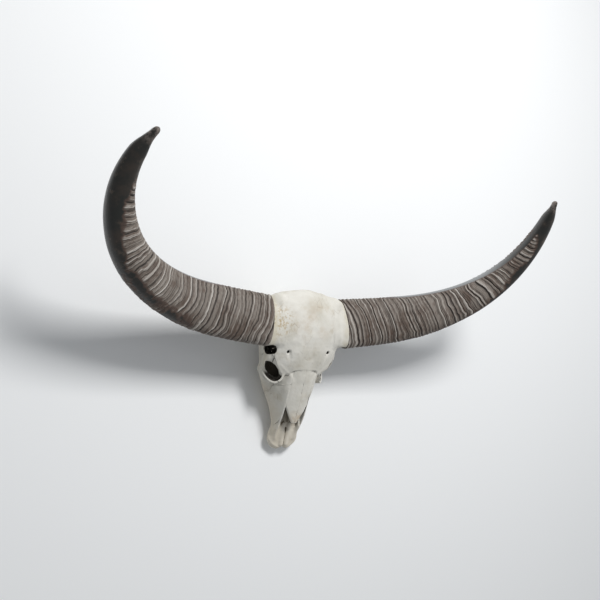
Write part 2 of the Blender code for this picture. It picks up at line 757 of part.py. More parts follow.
def muzzle(name, gap=0.0):
    """The space in front of the seam between the maxilla and the premaxilla."""
    front = FACE[-1][0] - CUTTER_OVERSHOOT
    outline = [(z - gap, depth) for z, depth in MUZZLE_SEAM]
    outline += [(front, MUZZLE_SEAM[-1][1]), (front, MUZZLE_SEAM[0][1])]
    return plate(name, outline, 0.2, facing_side(0.0))


def maxilla(shell, name, neighbours, teeth):
    """The bone of the cheek, the tooth row and the front of the palate."""
    reach = FACE[0][1][5][0] + CUTTER_OVERSHOOT
    wall = region(shell, name, (0, 0, FACE[-1][0] - CUTTER_OVERSHOOT), (reach, 0.2, LACRIMAL_END))
    wall = combine(wall, [muzzle("muzzle")], "DIFFERENCE")
    palate = block(
        "palate",
        (MIDLINE_GAP, PALATE_DEPTH, PALATINE_FRONT - SUTURE),
        (PALATE_HALF, PALATE_DEPTH + PALATE_WALL, PALATE_END),
    )
    wall = combine(wall, [tooth_row_block(), palate], "UNION")
    wall = knit(wall, *neighbours)
    return largest_body(knit(wall, *teeth, gap=SOCKET_CLEARANCE))


def lacrimal_bone(shell, name, neighbours):
    """The bone between the eye socket, the forehead, the nose and the cheek."""
    patch = region(shell, name, (0, 0.09, LACRIMAL_END + SUTURE), (LACRIMAL_SIDE, 0.2, -0.1))
    return largest_body(knit(patch, *neighbours))


def zygomatic_bone(shell, name, neighbours):
    """The cheek bone, with the lower rim of the eye socket and its two arms."""
    reach = FACE[0][1][5][0] + CUTTER_OVERSHOOT
    patch = region(shell, name, (LACRIMAL_SIDE + SUTURE, 0, CHEEK_END), (reach, 0.2, -0.1))
    arms = [
        bar("orbit_rim", ORBIT_RIM, ORBIT_RIM_RADII),
        bar("postorbital_bar", POSTORBITAL_BAR, POSTORBITAL_BAR_RADII),
    ]
    return largest_body(knit(combine(patch, arms, "UNION"), *neighbours))


def premaxilla(shell, name, neighbours):
    """The end of the muzzle: a wall that runs up beside the nostril, and a flat plate at its foot."""
    wall = bpy.data.objects.new(name, shell.data.copy())
    bpy.context.scene.collection.objects.link(wall)
    wall = combine(wall, [muzzle("muzzle", SUTURE)], "INTERSECT")
    parts = [
        plate("plate", PREMAXILLA_PLATE, PREMAXILLA_THICKNESS, facing_wall(PREMAXILLA_DEPTH)),
        bar("palatine_process", PALATINE_PROCESS, PALATINE_PROCESS_RADII),
    ]
    return largest_body(knit(combine(wall, parts, "UNION"), *neighbours))


# ---- bones of the braincase ----


def braincase_shell():
    outside = ball("braincase", BRAINCASE_CENTRE, BRAINCASE_RADII, 20, 12)
    inside = ball("brain", BRAINCASE_CENTRE, [r - BRAINCASE_WALL for r in BRAINCASE_RADII], 20, 12)
    return combine(outside, [inside], "DIFFERENCE")


def foramen_cutter():
    """The canal by which the spinal cord left the skull, into the braincase from behind."""
    x, depth, z = FORAMEN_CENTRE
    ends = ((x, depth - 0.020, z + 0.040), (x, depth, z), (x, depth + 0.020, z - 0.035))
    return bar("foramen", ends, (FORAMEN_RADIUS,) * 3, resolution=3)


def occipital_bone(shell, neighbours):
    """The back of the head: the nuchal plate, the two condyles and the root of the skull's base."""
    reach = BRAINCASE_RADII[0] + CUTTER_OVERSHOOT
    piece = region(shell, "occipital_bone", (-reach, 0, SUTURE_LINE), (reach, 0.2, 0.1))
    rows = [
        [at(u * half_width, depth - u * u * back, z - u * u * fall) for u in (-1, -0.5, 0, 0.5, 1)]
        for half_width, depth, back, z, fall in NUCHAL
    ]
    nuchal = sheet_of("nuchal", rows)
    if sum(face.normal.z for face in nuchal.data.polygons) < 0:
        nuchal.data.flip_normals()
    joined = [thicken(nuchal, NUCHAL_WALL)]
    joined.append(ball("condyle", CONDYLE, CONDYLE_RADII))
    joined.append(bar("paracondylar_process", PARACONDYLAR, PARACONDYLAR_RADII))
    joined.append(
        block(
            "basioccipital",
            (-BASE_HALF_WIDTH, BASE_DEPTH, BASE_TOP + SUTURE),
            (BASE_HALF_WIDTH, BASE_DEPTH + BASE_THICKNESS, SUTURE_LINE + BASE_THICKNESS),
        )
    )
    piece = combine(piece, joined, "UNION")
    piece = combine(piece, [foramen_cutter()], "DIFFERENCE")
    return largest_body(mirrored(knit(piece, *neighbours)))


def parietal_bone(shell, neighbours):
    """The vault of the braincase, behind the forehead."""
    low = (-VAULT_SIDE, VAULT_FLOOR, BASE_BOTTOM - CUTTER_OVERSHOOT)
    piece = region(shell, "parietal_bone", low, (VAULT_SIDE, 0.2, SUTURE_LINE - SUTURE))
    return largest_body(knit(piece, *neighbours))


def temporal_bone(shell, name, neighbours):
    """The side of the braincase, with the back half of the cheek arch and the ear capsule."""
    low = (VAULT_SIDE + SUTURE, BASE_DEPTH + 0.020, BASE_BOTTOM)
    piece = region(shell, name, low, (0.10, 0.2, SUTURE_LINE - SUTURE))
    joined = [
        bar("temporal_process", TEMPORAL_PROCESS, TEMPORAL_PROCESS_RADII),
        ball("bulla", BULLA, BULLA_RADII),
        bar("ear_wall", EAR_WALL, EAR_WALL_RADII),
    ]
    piece = combine(piece, joined, "UNION")
    return largest_body(knit(piece, *neighbours))


def sphenoid_bone(shell, neighbours):
    """The floor of the braincase, whose flat underside carries the bracket."""
    low = (-VAULT_SIDE, 0, BASE_BOTTOM - CUTTER_OVERSHOOT)
    piece = region(shell, "sphenoid_bone", low, (VAULT_SIDE, VAULT_FLOOR - SUTURE, SUTURE_LINE - SUTURE))
    low = (-BASE_HALF_WIDTH, BASE_DEPTH, BASE_BOTTOM)
    base = block("base", low, (BASE_HALF_WIDTH, BASE_DEPTH + BASE_THICKNESS + BRAINCASE_WALL, BASE_TOP))
    piece = combine(piece, [base], "UNION")
    return largest_body(mirrored(knit(piece, *neighbours)))


def palatine_bone(name, neighbours):
    """Half of the rear palate, with the side wall of the passage above it."""
    floor = block(
        name,
        (MIDLINE_GAP, PALATE_DEPTH, PALATINE_FRONT),
        (PALATINE_HALF, PALATE_DEPTH + PALATE_WALL, PALATINE_TOP - 0.018),
    )
    wall = block(
        "wall",
        (PALATINE_SIDE, PALATE_DEPTH, PALATINE_FRONT),
        (PALATINE_SIDE + PALATINE_WALL, PALATINE_ROOF, PALATINE_TOP),
    )
    return largest_body(knit(combine(floor, [wall], "UNION"), *neighbours))


def vomer():
    return plate("vomer", VOMER_OUTLINE, 2 * VOMER_HALF_THICKNESS, facing_side(0.0))


def concha(name):
    """A thin scroll of bone inside the nose."""
    x, depth = CONCHA_CENTRE
    rows = []
    for z in CONCHA_SPAN:
        row = []
        for k in range(19):
            angle = 2 * math.pi * CONCHA_TURNS * k / 18
            radius = CONCHA_RADIUS * (1 - 0.55 * k / 18)
            row.append(at(x + radius * math.cos(angle), depth + radius * math.sin(angle), z))
        rows.append(row)
    return thicken(sheet_of(name, rows), CONCHA_WALL)


# ---- bracket ----


def screw_heights():
    top = -WALL_FLANGE_HALF
    return top - SCREW_INSET, top - FIXING_FLANGE_LENGTH + SCREW_INSET


def hanger_bracket():
    """A Z-shaped strip: the wall flange, the web and the flange screwed to the skull's base."""
    face = BASE_DEPTH - FIXING_GAP
    low = -WALL_FLANGE_HALF - FIXING_FLANGE_LENGTH
    outline = (
        (WALL_FLANGE_HALF, 0.0),
        (-WALL_FLANGE_HALF, 0.0),
        (-WALL_FLANGE_HALF, face - STRIP_THICKNESS),
        (low, face - STRIP_THICKNESS),
        (low, face),
        (-WALL_FLANGE_HALF + STRIP_THICKNESS, face),
        (-WALL_FLANGE_HALF + STRIP_THICKNESS, STRIP_THICKNESS),
        (WALL_FLANGE_HALF, STRIP_THICKNESS),
    )
    strip = plate("hanger_bracket", outline, STRIP_WIDTH, facing_side(0.0))
    through = (-CUTTER_OVERSHOOT, CUTTER_OVERSHOOT)
    slot_ends = (
        (-KEYHOLE_SLOT_HALF, through[0], KEYHOLE_Z),
        (KEYHOLE_SLOT_HALF, through[1], KEYHOLE_SLOT_TOP),
    )
    cutters = [
        rod("keyhole", (0, KEYHOLE_Z), KEYHOLE_RADIUS, through),
        block("slot", *slot_ends),
        rod("slot_end", (0, KEYHOLE_SLOT_TOP), KEYHOLE_SLOT_HALF, through, 16),
    ]
    reach = (CUTTER_OVERSHOOT, 2 * face)
    for z in screw_heights():
        cutters.append(rod("screw_hole", (0, z), SCREW_RADIUS + SCREW_CLEARANCE, reach, 16))
    return combine(strip, cutters, "DIFFERENCE")


def hanger_screw(name, z):
    """A pan-head screw, turned about its axis, which points into the skull's base."""
    seat = BASE_DEPTH - 2 * FIXING_GAP - STRIP_THICKNESS
    crown = seat - SCREW_HEAD_HEIGHT
    profile = (
        (SCREW_HEAD_RADIUS * 0.7, crown),
        (SCREW_HEAD_RADIUS, seat - SCREW_HEAD_HEIGHT * 0.4),
        (SCREW_HEAD_RADIUS, seat),
        (SCREW_RADIUS, seat),
        (SCREW_RADIUS, seat + SCREW_LENGTH - SCREW_POINT),
        (SCREW_RADIUS * 0.2, seat + SCREW_LENGTH),
    )
    angles = [2 * math.pi * k / RING_POINTS for k in range(RING_POINTS)]
    rings = [[at(r * math.cos(a), depth, z + r * math.sin(a)) for a in angles] for r, depth in profile]
    half_width, half_length, recess_depth = SCREW_RECESS
    low = (-half_width, crown - recess_depth, z - half_length)
    high = (half_width, crown + recess_depth, z + half_length)
    return combine(loft(name, rings), [block("recess", low, high)], "DIFFERENCE")


# ---- assembly ----


def finish(obj, look, into):
    """Puts a finished piece in its collection with its material, shaded smooth across shallow edges."""
    obj.data.materials.clear()
    obj.data.materials.append(look)
    obj.data.shade_smooth()
    obj.data.set_sharp_from_angle(angle=math.radians(40))
    for owner in list(obj.users_collection):
        owner.objects.unlink(obj)
    into.objects.link(obj)
    return obj


def opposite(obj, name, into):
    """The same piece on the other side of the head: the same mesh, mirrored by its object's scale."""
    twin = bpy.data.objects.new(name, obj.data)
    twin.scale = (-1, 1, 1)
    into.objects.link(twin)


def main():
    clear_scene()
    skull = collection("buffalo_skull")
    bone = material("bone", (0.78, 0.76, 0.70), 0.75)
    core_bone = material("core_bone", (0.70, 0.66, 0.54), 0.8)
    horn = material("horn", (0.16, 0.13, 0.11), 0.45)
    enamel = material("enamel", (0.72, 0.66, 0.52), 0.4)
    steel = material("steel", (0.55, 0.56, 0.58), 0.35, 1.0)

    sheath = horn_sheath("horn_sheath_right")
    core = horn_core("horn_core_right")
    frontal = frontal_bone(core)
    teeth = [tooth(f"{place[0]}_right", place) for place in tooth_places()]
    nasal = largest_body(knit(nasal_bone("nasal_bone_right"), frontal))
    face = face_shell()
    lacrimal = lacrimal_bone(face, "lacrimal_bone_right", [frontal, nasal])
    zygomatic = zygomatic_bone(face, "zygomatic_bone_right", [frontal, lacrimal])
    cheek = maxilla(face, "maxilla_right", [nasal, zygomatic], teeth)
    front = premaxilla(face, "premaxilla_right", [cheek, nasal])
    bpy.data.objects.remove(face)
    shell = braincase_shell()
    temporal = temporal_bone(shell, "temporal_bone_right", [frontal, core, zygomatic])
    parietal = parietal_bone(shell, [frontal])
    upper, lower = screw_heights()
    screws = [hanger_screw("hanger_screw_upper", upper), hanger_screw("hanger_screw_lower", lower)]
    sphenoid = sphenoid_bone(shell, [temporal, *screws])
    occipital = occipital_bone(shell, [frontal])
    bpy.data.objects.remove(shell)
    palatine = palatine_bone("palatine_bone_right", [cheek, sphenoid, *teeth])

    for obj in (frontal, parietal, sphenoid, occipital, vomer()):
        finish(obj, bone, skull)
    pairs = [(sheath, horn), (core, core_bone), *((t, enamel) for t in teeth)]
    pairs += [(o, bone) for o in (nasal, cheek, lacrimal, front, zygomatic, temporal, palatine)]
    pairs.append((concha("nasal_concha_right"), bone))
    for obj, look in pairs:
        finish(obj, look, skull)
        opposite(obj, obj.name.replace("_right", "_left"), skull)
    for obj in (hanger_bracket(), *screws):
        finish(obj, steel, skull)


main()
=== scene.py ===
"""Looks of a wall-hung water-buffalo skull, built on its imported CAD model.

The skull's bones are sculpted as one signed distance field on a voxel grid, which starts from the CAD bones
and gains the forehead, cheeks, eye sockets and muzzle in fine detail. The field is then divided along the
CAD model's own sutures, so that each bone is a piece of its own. The horns are dense swept surfaces with
growth ridges. The frame is the CAD frame: +X the viewer's right, -Y out of the wall, +Z up, in metres.
A "depth" is a distance in front of the wall, so a point's Y is minus its depth.
"""

import json
import math

import bpy
import numpy as np
import openvdb
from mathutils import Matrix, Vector

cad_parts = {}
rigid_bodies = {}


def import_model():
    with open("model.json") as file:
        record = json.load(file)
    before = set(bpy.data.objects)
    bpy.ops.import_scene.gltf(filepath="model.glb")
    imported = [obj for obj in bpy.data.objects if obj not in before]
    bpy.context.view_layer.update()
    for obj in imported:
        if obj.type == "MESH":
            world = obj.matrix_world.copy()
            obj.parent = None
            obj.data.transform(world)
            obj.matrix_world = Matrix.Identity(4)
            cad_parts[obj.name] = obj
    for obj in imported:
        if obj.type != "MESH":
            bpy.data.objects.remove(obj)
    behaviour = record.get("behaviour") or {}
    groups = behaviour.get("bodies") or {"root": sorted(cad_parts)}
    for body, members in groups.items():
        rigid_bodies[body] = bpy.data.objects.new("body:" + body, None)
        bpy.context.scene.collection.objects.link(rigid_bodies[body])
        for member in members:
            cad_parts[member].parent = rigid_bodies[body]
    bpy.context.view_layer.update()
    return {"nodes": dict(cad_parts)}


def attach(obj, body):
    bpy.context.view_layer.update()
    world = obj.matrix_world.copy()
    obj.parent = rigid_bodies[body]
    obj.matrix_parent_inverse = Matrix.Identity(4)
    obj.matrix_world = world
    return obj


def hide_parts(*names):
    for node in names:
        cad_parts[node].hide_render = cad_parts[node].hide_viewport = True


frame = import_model()

# Sculpting grid, over the right half of the skull
VOXEL = 0.0012
GRID_LOW = np.array((0.5 * VOXEL, -0.219, -0.426))
GRID_HIGH = np.array((0.150, 0.003, 0.108))
BAND = 0.012  # distances are exact this far from a surface
TERRITORY_VOXEL = 0.004
TERRITORY_BAND = 0.06
SUTURE_GAP = 0.0003

# Sizes of the fillets where the parts of the skull's field meet. None is larger than BAND.
KNIT_FILLET = 0.0025
SMALL_FILLET = 0.004
FILLET = 0.006
LARGE_FILLET = 0.009
WIDEST_FILLET = 0.0115

# Horn, as in the CAD model
HORN_LENGTH = 0.865
HORN_START_ANGLE = 6.0
HORN_TURN = 117.0
HORN_TURN_POWER = 2.4
HORN_LEAN = 10.0
HORN_BOW = 0.33
HORN_BASE = (0.141, 0.163, -0.016)
HORN_TWIST = 16.0
HORN_HALF_WIDTH = 0.079
HORN_HALF_THICKNESS = 0.048
HORN_TIP_RADIUS = 0.016
TIP_TAPER = 0.42  # how much thinner the visible tip ends than the CAD's
TIP_TAPER_START = 0.94  # share of the horn's length where that begins
PATH_STEPS = 2000
HORN_FRONT_SHARE = 0.75
HORN_BACK_SHARE = 1.25
SHEATH_WALL = 0.006
CORE_REACH = 0.62
CORE_TIP_SHARE = 0.35
PEDICLE_LENGTH = 0.033
PEDICLE_NECK = 0.003
CORE_CLEARANCE = 0.0008
RIDGED_SHARES = (0.0, 0.14, 0.30, 0.45, 0.58, 0.68, 0.78, 0.86, 0.92)
RIDGED_EDGES = (-1.7, -1.35, -1.02, -0.88, -0.74, -0.48, -0.02, 0.50, 1.60)

# Forehead: rows of z, half width, depth on the midline, depth at the edge, droop of the edge
FOREHEAD = (
    (0.066, 0.076, 0.118, 0.108, 0.010),
    (0.080, 0.104, 0.148, 0.136, 0.014),
    (0.072, 0.110, 0.180, 0.163, 0.010),
    (0.040, 0.105, 0.197, 0.187, 0.000),
    (-0.010, 0.107, 0.203, 0.192, 0.000),
    (-0.060, 0.107, 0.199, 0.183, 0.000),
    (-0.095, 0.109, 0.190, 0.171, 0.000),
    (-0.122, 0.112, 0.181, 0.157, 0.000),
    (-0.145, 0.095, 0.171, 0.148, 0.010),
    (-0.163, 0.071, 0.163, 0.138, 0.022),
)
FOREHEAD_CROWN = 2.4
FOREHEAD_WALL = 0.009

# Side of the head and muzzle: rows of z and of six pairs of x and depth, from the forehead or the nasal bone
# round to the rear edge
FLANK = (
    (-0.045, 0.100, 0.184, 0.114, 0.171, 0.126, 0.150, 0.131, 0.126, 0.131, 0.102, 0.128, 0.084),
    (-0.085, 0.104, 0.173, 0.118, 0.160, 0.129, 0.139, 0.132, 0.114, 0.131, 0.092, 0.127, 0.076),
    (-0.110, 0.106, 0.160, 0.119, 0.149, 0.128, 0.129, 0.131, 0.106, 0.129, 0.086, 0.125, 0.072),
    (-0.135, 0.101, 0.149, 0.116, 0.137, 0.126, 0.119, 0.128, 0.098, 0.126, 0.080, 0.121, 0.067),
    (-0.158, 0.078, 0.147, 0.101, 0.134, 0.115, 0.116, 0.121, 0.096, 0.120, 0.078, 0.115, 0.064),
    (-0.180, 0.050, 0.143, 0.074, 0.125, 0.090, 0.105, 0.102, 0.087, 0.109, 0.071, 0.106, 0.059),
    (-0.200, 0.036, 0.137, 0.057, 0.118, 0.073, 0.098, 0.086, 0.080, 0.095, 0.065, 0.096, 0.052),
    (-0.225, 0.032, 0.128, 0.046, 0.111, 0.059, 0.094, 0.071, 0.077, 0.081, 0.060, 0.084, 0.045),
    (-0.250, 0.032, 0.116, 0.042, 0.101, 0.052, 0.085, 0.061, 0.068, 0.068, 0.052, 0.070, 0.039),
    (-0.280, 0.036, 0.100, 0.041, 0.089, 0.047, 0.075, 0.053, 0.060, 0.057, 0.046, 0.056, 0.036),
    (-0.310, 0.0385, 0.083, 0.042, 0.074, 0.046, 0.065, 0.049, 0.054, 0.051, 0.043, 0.048, 0.033),
    (-0.338, 0.040, 0.066, 0.043, 0.059, 0.0445, 0.053, 0.0455, 0.046, 0.0455, 0.039, 0.042, 0.031),
    (-0.362, 0.039, 0.050, 0.0425, 0.046, 0.045, 0.041, 0.047, 0.035, 0.0475, 0.030, 0.043, 0.024),
    (-0.384, 0.034, 0.039, 0.039, 0.036, 0.044, 0.033, 0.0475, 0.030, 0.048, 0.026, 0.043, 0.022),
)
FLANK_WALL = 0.006

# Nasal bones: rows of z, half width, depth on the midline, depth at the outer edge
NASAL = (
    (-0.140, 0.040, 0.171, 0.156),
    (-0.158, 0.037, 0.166, 0.153),
    (-0.175, 0.034, 0.160, 0.148),
    (-0.200, 0.032, 0.150, 0.138),
    (-0.240, 0.031, 0.133, 0.120),
    (-0.270, 0.033, 0.119, 0.105),
    (-0.290, 0.028, 0.111, 0.100),
    (-0.310, 0.020, 0.104, 0.096),
    (-0.331, 0.011, 0.0965, 0.093),
)
NASAL_WALL = 0.005
NOTCH_TOP = -0.276  # z where the nasal bone's free edge leaves the maxilla
NOTCH_SLOPE = 0.56  # how fast that edge runs in towards the tip
NOTCH_EDGE = 0.040  # x of the maxilla's edge beside the notch

ORBIT_CENTRE = (0.0985, 0.117, -0.162)
ORBIT_HALF = (0.034, 0.0185, 0.045)  # along the opening, across it, and inwards
ORBIT_LONG = (-0.045, -0.004, -0.050)  # the opening's long axis, as x, depth, z
ORBIT_OUT = (0.70, 0.70, 0.10)
FOSSA_CENTRE = (0.115, 0.140, -0.100)
FOSSA_HALF = (0.0215, 0.0175, 0.040)
FOSSA_LONG = (0.60, -0.80, 0.0)
FOSSA_OUT = (0.80, 0.60, 0.0)
OPENINGS = (
    (ORBIT_CENTRE, ORBIT_HALF, ORBIT_LONG, ORBIT_OUT),
    (FOSSA_CENTRE, FOSSA_HALF, FOSSA_LONG, FOSSA_OUT),
)

# Rounded forms, as the (x, depth, z) of the centre, half sizes, long axis and out axis: the swelling of the
# forehead above the horn's foot, and the wall on the inner side of the eye socket
SHOULDER = ((0.106, 0.164, 0.042), (0.026, 0.025, 0.025), (1.0, 0.0, 0.0), (0.0, 1.0, 0.0))
CUP_REACH = (0.010, 0.012, 0.014)  # how much larger than the openings the cups of bone behind them are
CUP_WALL = 0.0022  # half their thickness
INNER_WALL = ((0.052, 0.082, -0.112), (0.068, 0.047, 0.0035), (-0.05, 0.0, 1.0), (1.0, 0.12, 0.05))

# Premaxilla: a rounded plate, and a process beside the midline as points and radii
PLATE_CENTRE = (0.0238, 0.0345, -0.380)
PLATE_HALF = (0.032, 0.0228, 0.0070)
PLATE_LONG = (0.06, -0.45, -1.0)
PLATE_OUT = (0.25, 1.0, -0.45)
PROCESS = (((0.009, 0.036, -0.400), (0.010, 0.043, -0.368), (0.012, 0.052, -0.335)), (0.0065, 0.0062, 0.0040))
NOTCH_BACK = 0.070  # depth to which the notch is cut
FORAMEN = (0.073, 0.174, -0.113)

BONE_NODES = (
    "frontal_bone",
    "parietal_bone",
    "sphenoid_bone",
    "occipital_bone",
    "nasal_bone",
    "lacrimal_bone",
    "zygomatic_bone",
    "maxilla",
    "premaxilla",
    "temporal_bone",
    "palatine_bone",
)
MIDLINE_BONES = BONE_NODES[:4]


def right_node(bone):
    """The CAD node of a bone on the midline, or of the right one of a pair."""
    return bone if bone in MIDLINE_BONES else bone + "_right"


# ---- noise ----


def lattice(ix, iy, iz, seed):
    """A repeatable random number from -1 to 1 for each whole-numbered point."""
    h = (ix * 374761393 + iy * 668265263 + iz * 2147483647 + seed * 974634777) & 0xFFFFFFFF
    h = ((h ^ (h >> 13)) * 1274126177) & 0xFFFFFFFF
    h = ((h ^ (h >> 16)) * 2246822519) & 0xFFFFFFFF
    return (h & 0xFFFFFF) / float(0x7FFFFF) - 1.0


def noise(points, size, seed):
    """Smooth noise from -1 to 1 whose lumps are about that size. size is one number or one for each axis."""
    p = np.asarray(points, np.float64) / np.asarray(size, np.float64)
    base = np.floor(p).astype(np.int64)
    f = p - base
    f = f * f * f * (f * (f * 6 - 15) + 10)
    total = np.zeros(len(p))
    for dx in (0, 1):
        wx = f[:, 0] if dx else 1 - f[:, 0]
        for dy in (0, 1):
            wy = f[:, 1] if dy else 1 - f[:, 1]
            for dz in (0, 1):
                wz = f[:, 2] if dz else 1 - f[:, 2]
                total += wx * wy * wz * lattice(base[:, 0] + dx, base[:, 1] + dy, base[:, 2] + dz, seed)
    return total


def fractal(points, size, seed, octaves=3):
    total = np.zeros(len(points))
    weight = 1.0
    for octave in range(octaves):
        total += weight * noise(points, np.asarray(size) / 2**octave, seed + octave)
        weight *= 0.5
    return total


def smoothstep(low, high, value):
    t = np.clip((value - low) / (high - low), 0, 1)
    return t * t * (3 - 2 * t)


# ---- meshes ----


def mesh_object(name, points, faces, smooth=True):
    """A mesh from arrays. faces is an array of quads or of triangles, or a tuple of both."""
    groups = faces if isinstance(faces, tuple) else (faces,)
    corners = np.concatenate([g.reshape(-1) for g in groups]).astype(np.int32)
    sizes = np.concatenate([np.full(len(g), g.shape[1], np.int32) for g in groups])
    starts = np.concatenate([[0], np.cumsum(sizes)[:-1]]).astype(np.int32)
    mesh = bpy.data.meshes.new(name)
    mesh.vertices.add(len(points))
    mesh.vertices.foreach_set("co", np.asarray(points, np.float32).ravel())
    mesh.loops.add(len(corners))
    mesh.loops.foreach_set("vertex_index", corners)
    mesh.polygons.add(len(sizes))
    mesh.polygons.foreach_set("loop_start", starts)
    mesh.polygons.foreach_set("use_smooth", np.full(len(sizes), smooth))
    mesh.update(calc_edges=True)
    mesh.validate()
    obj = bpy.data.objects.new(name, mesh)
    bpy.context.scene.collection.objects.link(obj)
    return obj


def add_attribute(obj, name, values):
    layer = obj.data.attributes.new(name, "FLOAT", "POINT")
    layer.data.foreach_set("value", np.asarray(values, np.float32))


def vertex_normals(points, quads):
    """Unit normals of a quad mesh's vertices, weighted by area."""
    a, b, c, d = (points[quads[:, k]] for k in range(4))
    face = np.cross(c - a, d - b)
    normals = np.zeros_like(points)
    for k in range(4):
        for axis in range(3):
            normals[:, axis] += np.bincount(quads[:, k], weights=face[:, axis], minlength=len(points))
    return normals / np.maximum(np.linalg.norm(normals, axis=1, keepdims=True), 1e-12)


def catmull(rows, count):
    """Rows resampled along a smooth curve through them all."""
    rows = np.asarray(rows, float)
    place = np.linspace(0, len(rows) - 1, count)
    i = np.minimum(place.astype(int), len(rows) - 2)
    t = (place - i).reshape((-1,) + (1,) * (rows.ndim - 1))
    a = rows[np.maximum(i - 1, 0)]
    b = rows[i]
    c = rows[i + 1]
    d = rows[np.minimum(i + 2, len(rows) - 1)]
    return 0.5 * (2 * b + (c - a) * t + (2 * a - 5 * b + 4 * c - d) * t**2 + (3 * b - a - 3 * c + d) * t**3)


def grid_quads(rows, columns, offset=0):
    r, c = np.meshgrid(np.arange(rows - 1), np.arange(columns - 1), indexing="ij")
    first = offset + r * columns + c
    return np.stack([first, first + 1, first + columns + 1, first + columns], -1).reshape(-1, 4)


def slab(front, wall, inward):
    """A closed slab from a grid of points, thickened on the side that inward points to."""
    rows, columns = front.shape[:2]
    along = np.gradient(front, axis=0)
    across = np.gradient(front, axis=1)
    normal = np.cross(along, across)
    normal /= np.maximum(np.linalg.norm(normal, axis=2, keepdims=True), 1e-12)
    if (normal.reshape(-1, 3) @ np.asarray(inward, float)).sum() < 0:
        normal = -normal
    back = front + normal * wall
    points = np.concatenate([front.reshape(-1, 3), back.reshape(-1, 3)])
    count = rows * columns
    index = np.arange(count).reshape(rows, columns)
    border = np.concatenate([index[0, :-1], index[:-1, -1], index[-1, :0:-1], index[:0:-1, 0]])
    after = np.roll(border, -1)
    sides = np.stack([border, after, after + count, border + count], -1)
    quads = np.concatenate([grid_quads(rows, columns), grid_quads(rows, columns, count)[:, ::-1], sides])
    return points, quads


# ---- distance fields ----

SHAPE = tuple(np.ceil((GRID_HIGH - GRID_LOW) / VOXEL).astype(int) + 1)
GRID_AXES = [(GRID_LOW[k] + VOXEL * np.arange(SHAPE[k])).astype(np.float32) for k in range(3)]
GX, GY, GZ = np.meshgrid(*GRID_AXES, indexing="ij", sparse=True)


def distance(points, faces, low=GRID_LOW, voxel=VOXEL, shape=SHAPE, band=BAND):
    """Signed distance to a closed mesh at every point of a grid, negative inside."""
    index_points = ((np.asarray(points) - low) / voxel).astype(np.float32)
    faces = faces.astype(np.uint32)
    which = "triangles" if faces.shape[1] == 3 else "quads"
    level = openvdb.FloatGrid.createLevelSetFromPolygons(
        index_points, transform=openvdb.createLinearTransform(1.0), halfWidth=band / voxel, **{which: faces}
    )
    field = np.empty(shape, np.float32)
    level.copyToArray(field)
    return field * voxel


def node_mesh(node):
    """Points and triangles of a CAD node."""
    mesh = frame["nodes"][node].data
    mesh.calc_loop_triangles()
    points = np.empty(len(mesh.vertices) * 3, np.float32)
    mesh.vertices.foreach_get("co", points)
    triangles = np.empty(len(mesh.loop_triangles) * 3, np.int32)
    mesh.loop_triangles.foreach_get("vertices", triangles)
    return points.reshape(-1, 3), triangles.reshape(-1, 3)


def join(a, b, blend):
    """Union of two fields, with a fillet of about that size."""
    h = np.clip(0.5 + 0.5 * (b - a) / blend, 0, 1)
    return b + (a - b) * h - blend * h * (1 - h)


def carve(a, b, blend):
    """Field a with field b cut from it, with a rounded edge of about that size."""
    return -join(-a, b, blend)


def blur(field, sigma):
    """A field smoothed over about that distance. The midline is a mirror."""
    reach = max(1, int(math.ceil(2.5 * sigma / VOXEL)))
    taps = np.exp(-0.5 * (np.arange(-reach, reach + 1) * VOXEL / sigma) ** 2)
    taps /= taps.sum()
    for axis in range(3):
        pads = [(0, 0)] * 3
        pads[axis] = (reach, reach)
        wide = np.pad(field, pads, mode="symmetric")
        total = np.zeros_like(field)
        for k, weight in enumerate(taps):
            part = [slice(None)] * 3
            part[axis] = slice(k, k + field.shape[axis])
            total += np.float32(weight) * wide[tuple(part)]
        field = total
    return field


def ellipsoid(centre, half, long_axis, out_axis, power=2.0):
    """Field of an ellipsoid or rounded box. Points are (x, depth, z); half sizes are long, across and out."""
    out = np.array(out_axis, float) / np.linalg.norm(out_axis)
    long = np.array(long_axis, float)
    long -= out * (long @ out)
    long /= np.linalg.norm(long)
    across = np.cross(out, long)
    x, d, z = GX - centre[0], -GY - centre[1], GZ - centre[2]
    total = 0
    for axis, size in zip((long, across, out), half):
        total = total + np.abs((x * axis[0] + d * axis[1] + z * axis[2]) / size) ** power
    return ((total ** (1 / power) - 1) * min(half)).astype(np.float32)


def capsule(a, b, radius_a, radius_b=None):
    """Field of a tapering rod between two (x, depth, z) points."""
    radius_b = radius_a if radius_b is None else radius_b
    a, b = np.array(a, float), np.array(b, float)
    run = b - a
    x, d, z = GX - a[0], -GY - a[1], GZ - a[2]
    t = np.clip((x * run[0] + d * run[1] + z * run[2]) / (run @ run), 0, 1)
    gap = np.sqrt((x - run[0] * t) ** 2 + (d - run[1] * t) ** 2 + (z - run[2] * t) ** 2)
    return (gap - (radius_a + (radius_b - radius_a) * t)).astype(np.float32)


def rod_path(points, radii):
    field = None
    for k in range(len(points) - 1):
        part = capsule(points[k], points[k + 1], radii[k], radii[k + 1])
        field = part if field is None else np.minimum(field, part)
    return field


# ---- the skull's form ----


def forehead_slab():
    table = catmull(FOREHEAD, 90)
    u = np.linspace(-1, 1, 121)
    z, half, middle, edge, droop = (table[:, k : k + 1] for k in range(5))
    depth = edge + (middle - edge) * (1 - np.abs(u) ** FOREHEAD_CROWN)
    front = np.stack([half * u, -depth, z - droop * np.abs(u) ** 4], -1)
    return slab(front, FOREHEAD_WALL, (0, 1, 0))


def flank_slab():
    rows = catmull([[(x, -depth, row[0]) for x, depth in zip(row[1::2], row[2::2])] for row in FLANK], 160)
    columns = catmull(rows.transpose(1, 0, 2), 50)
    return slab(columns.transpose(1, 0, 2), FLANK_WALL, (-1, 0.6, 0))


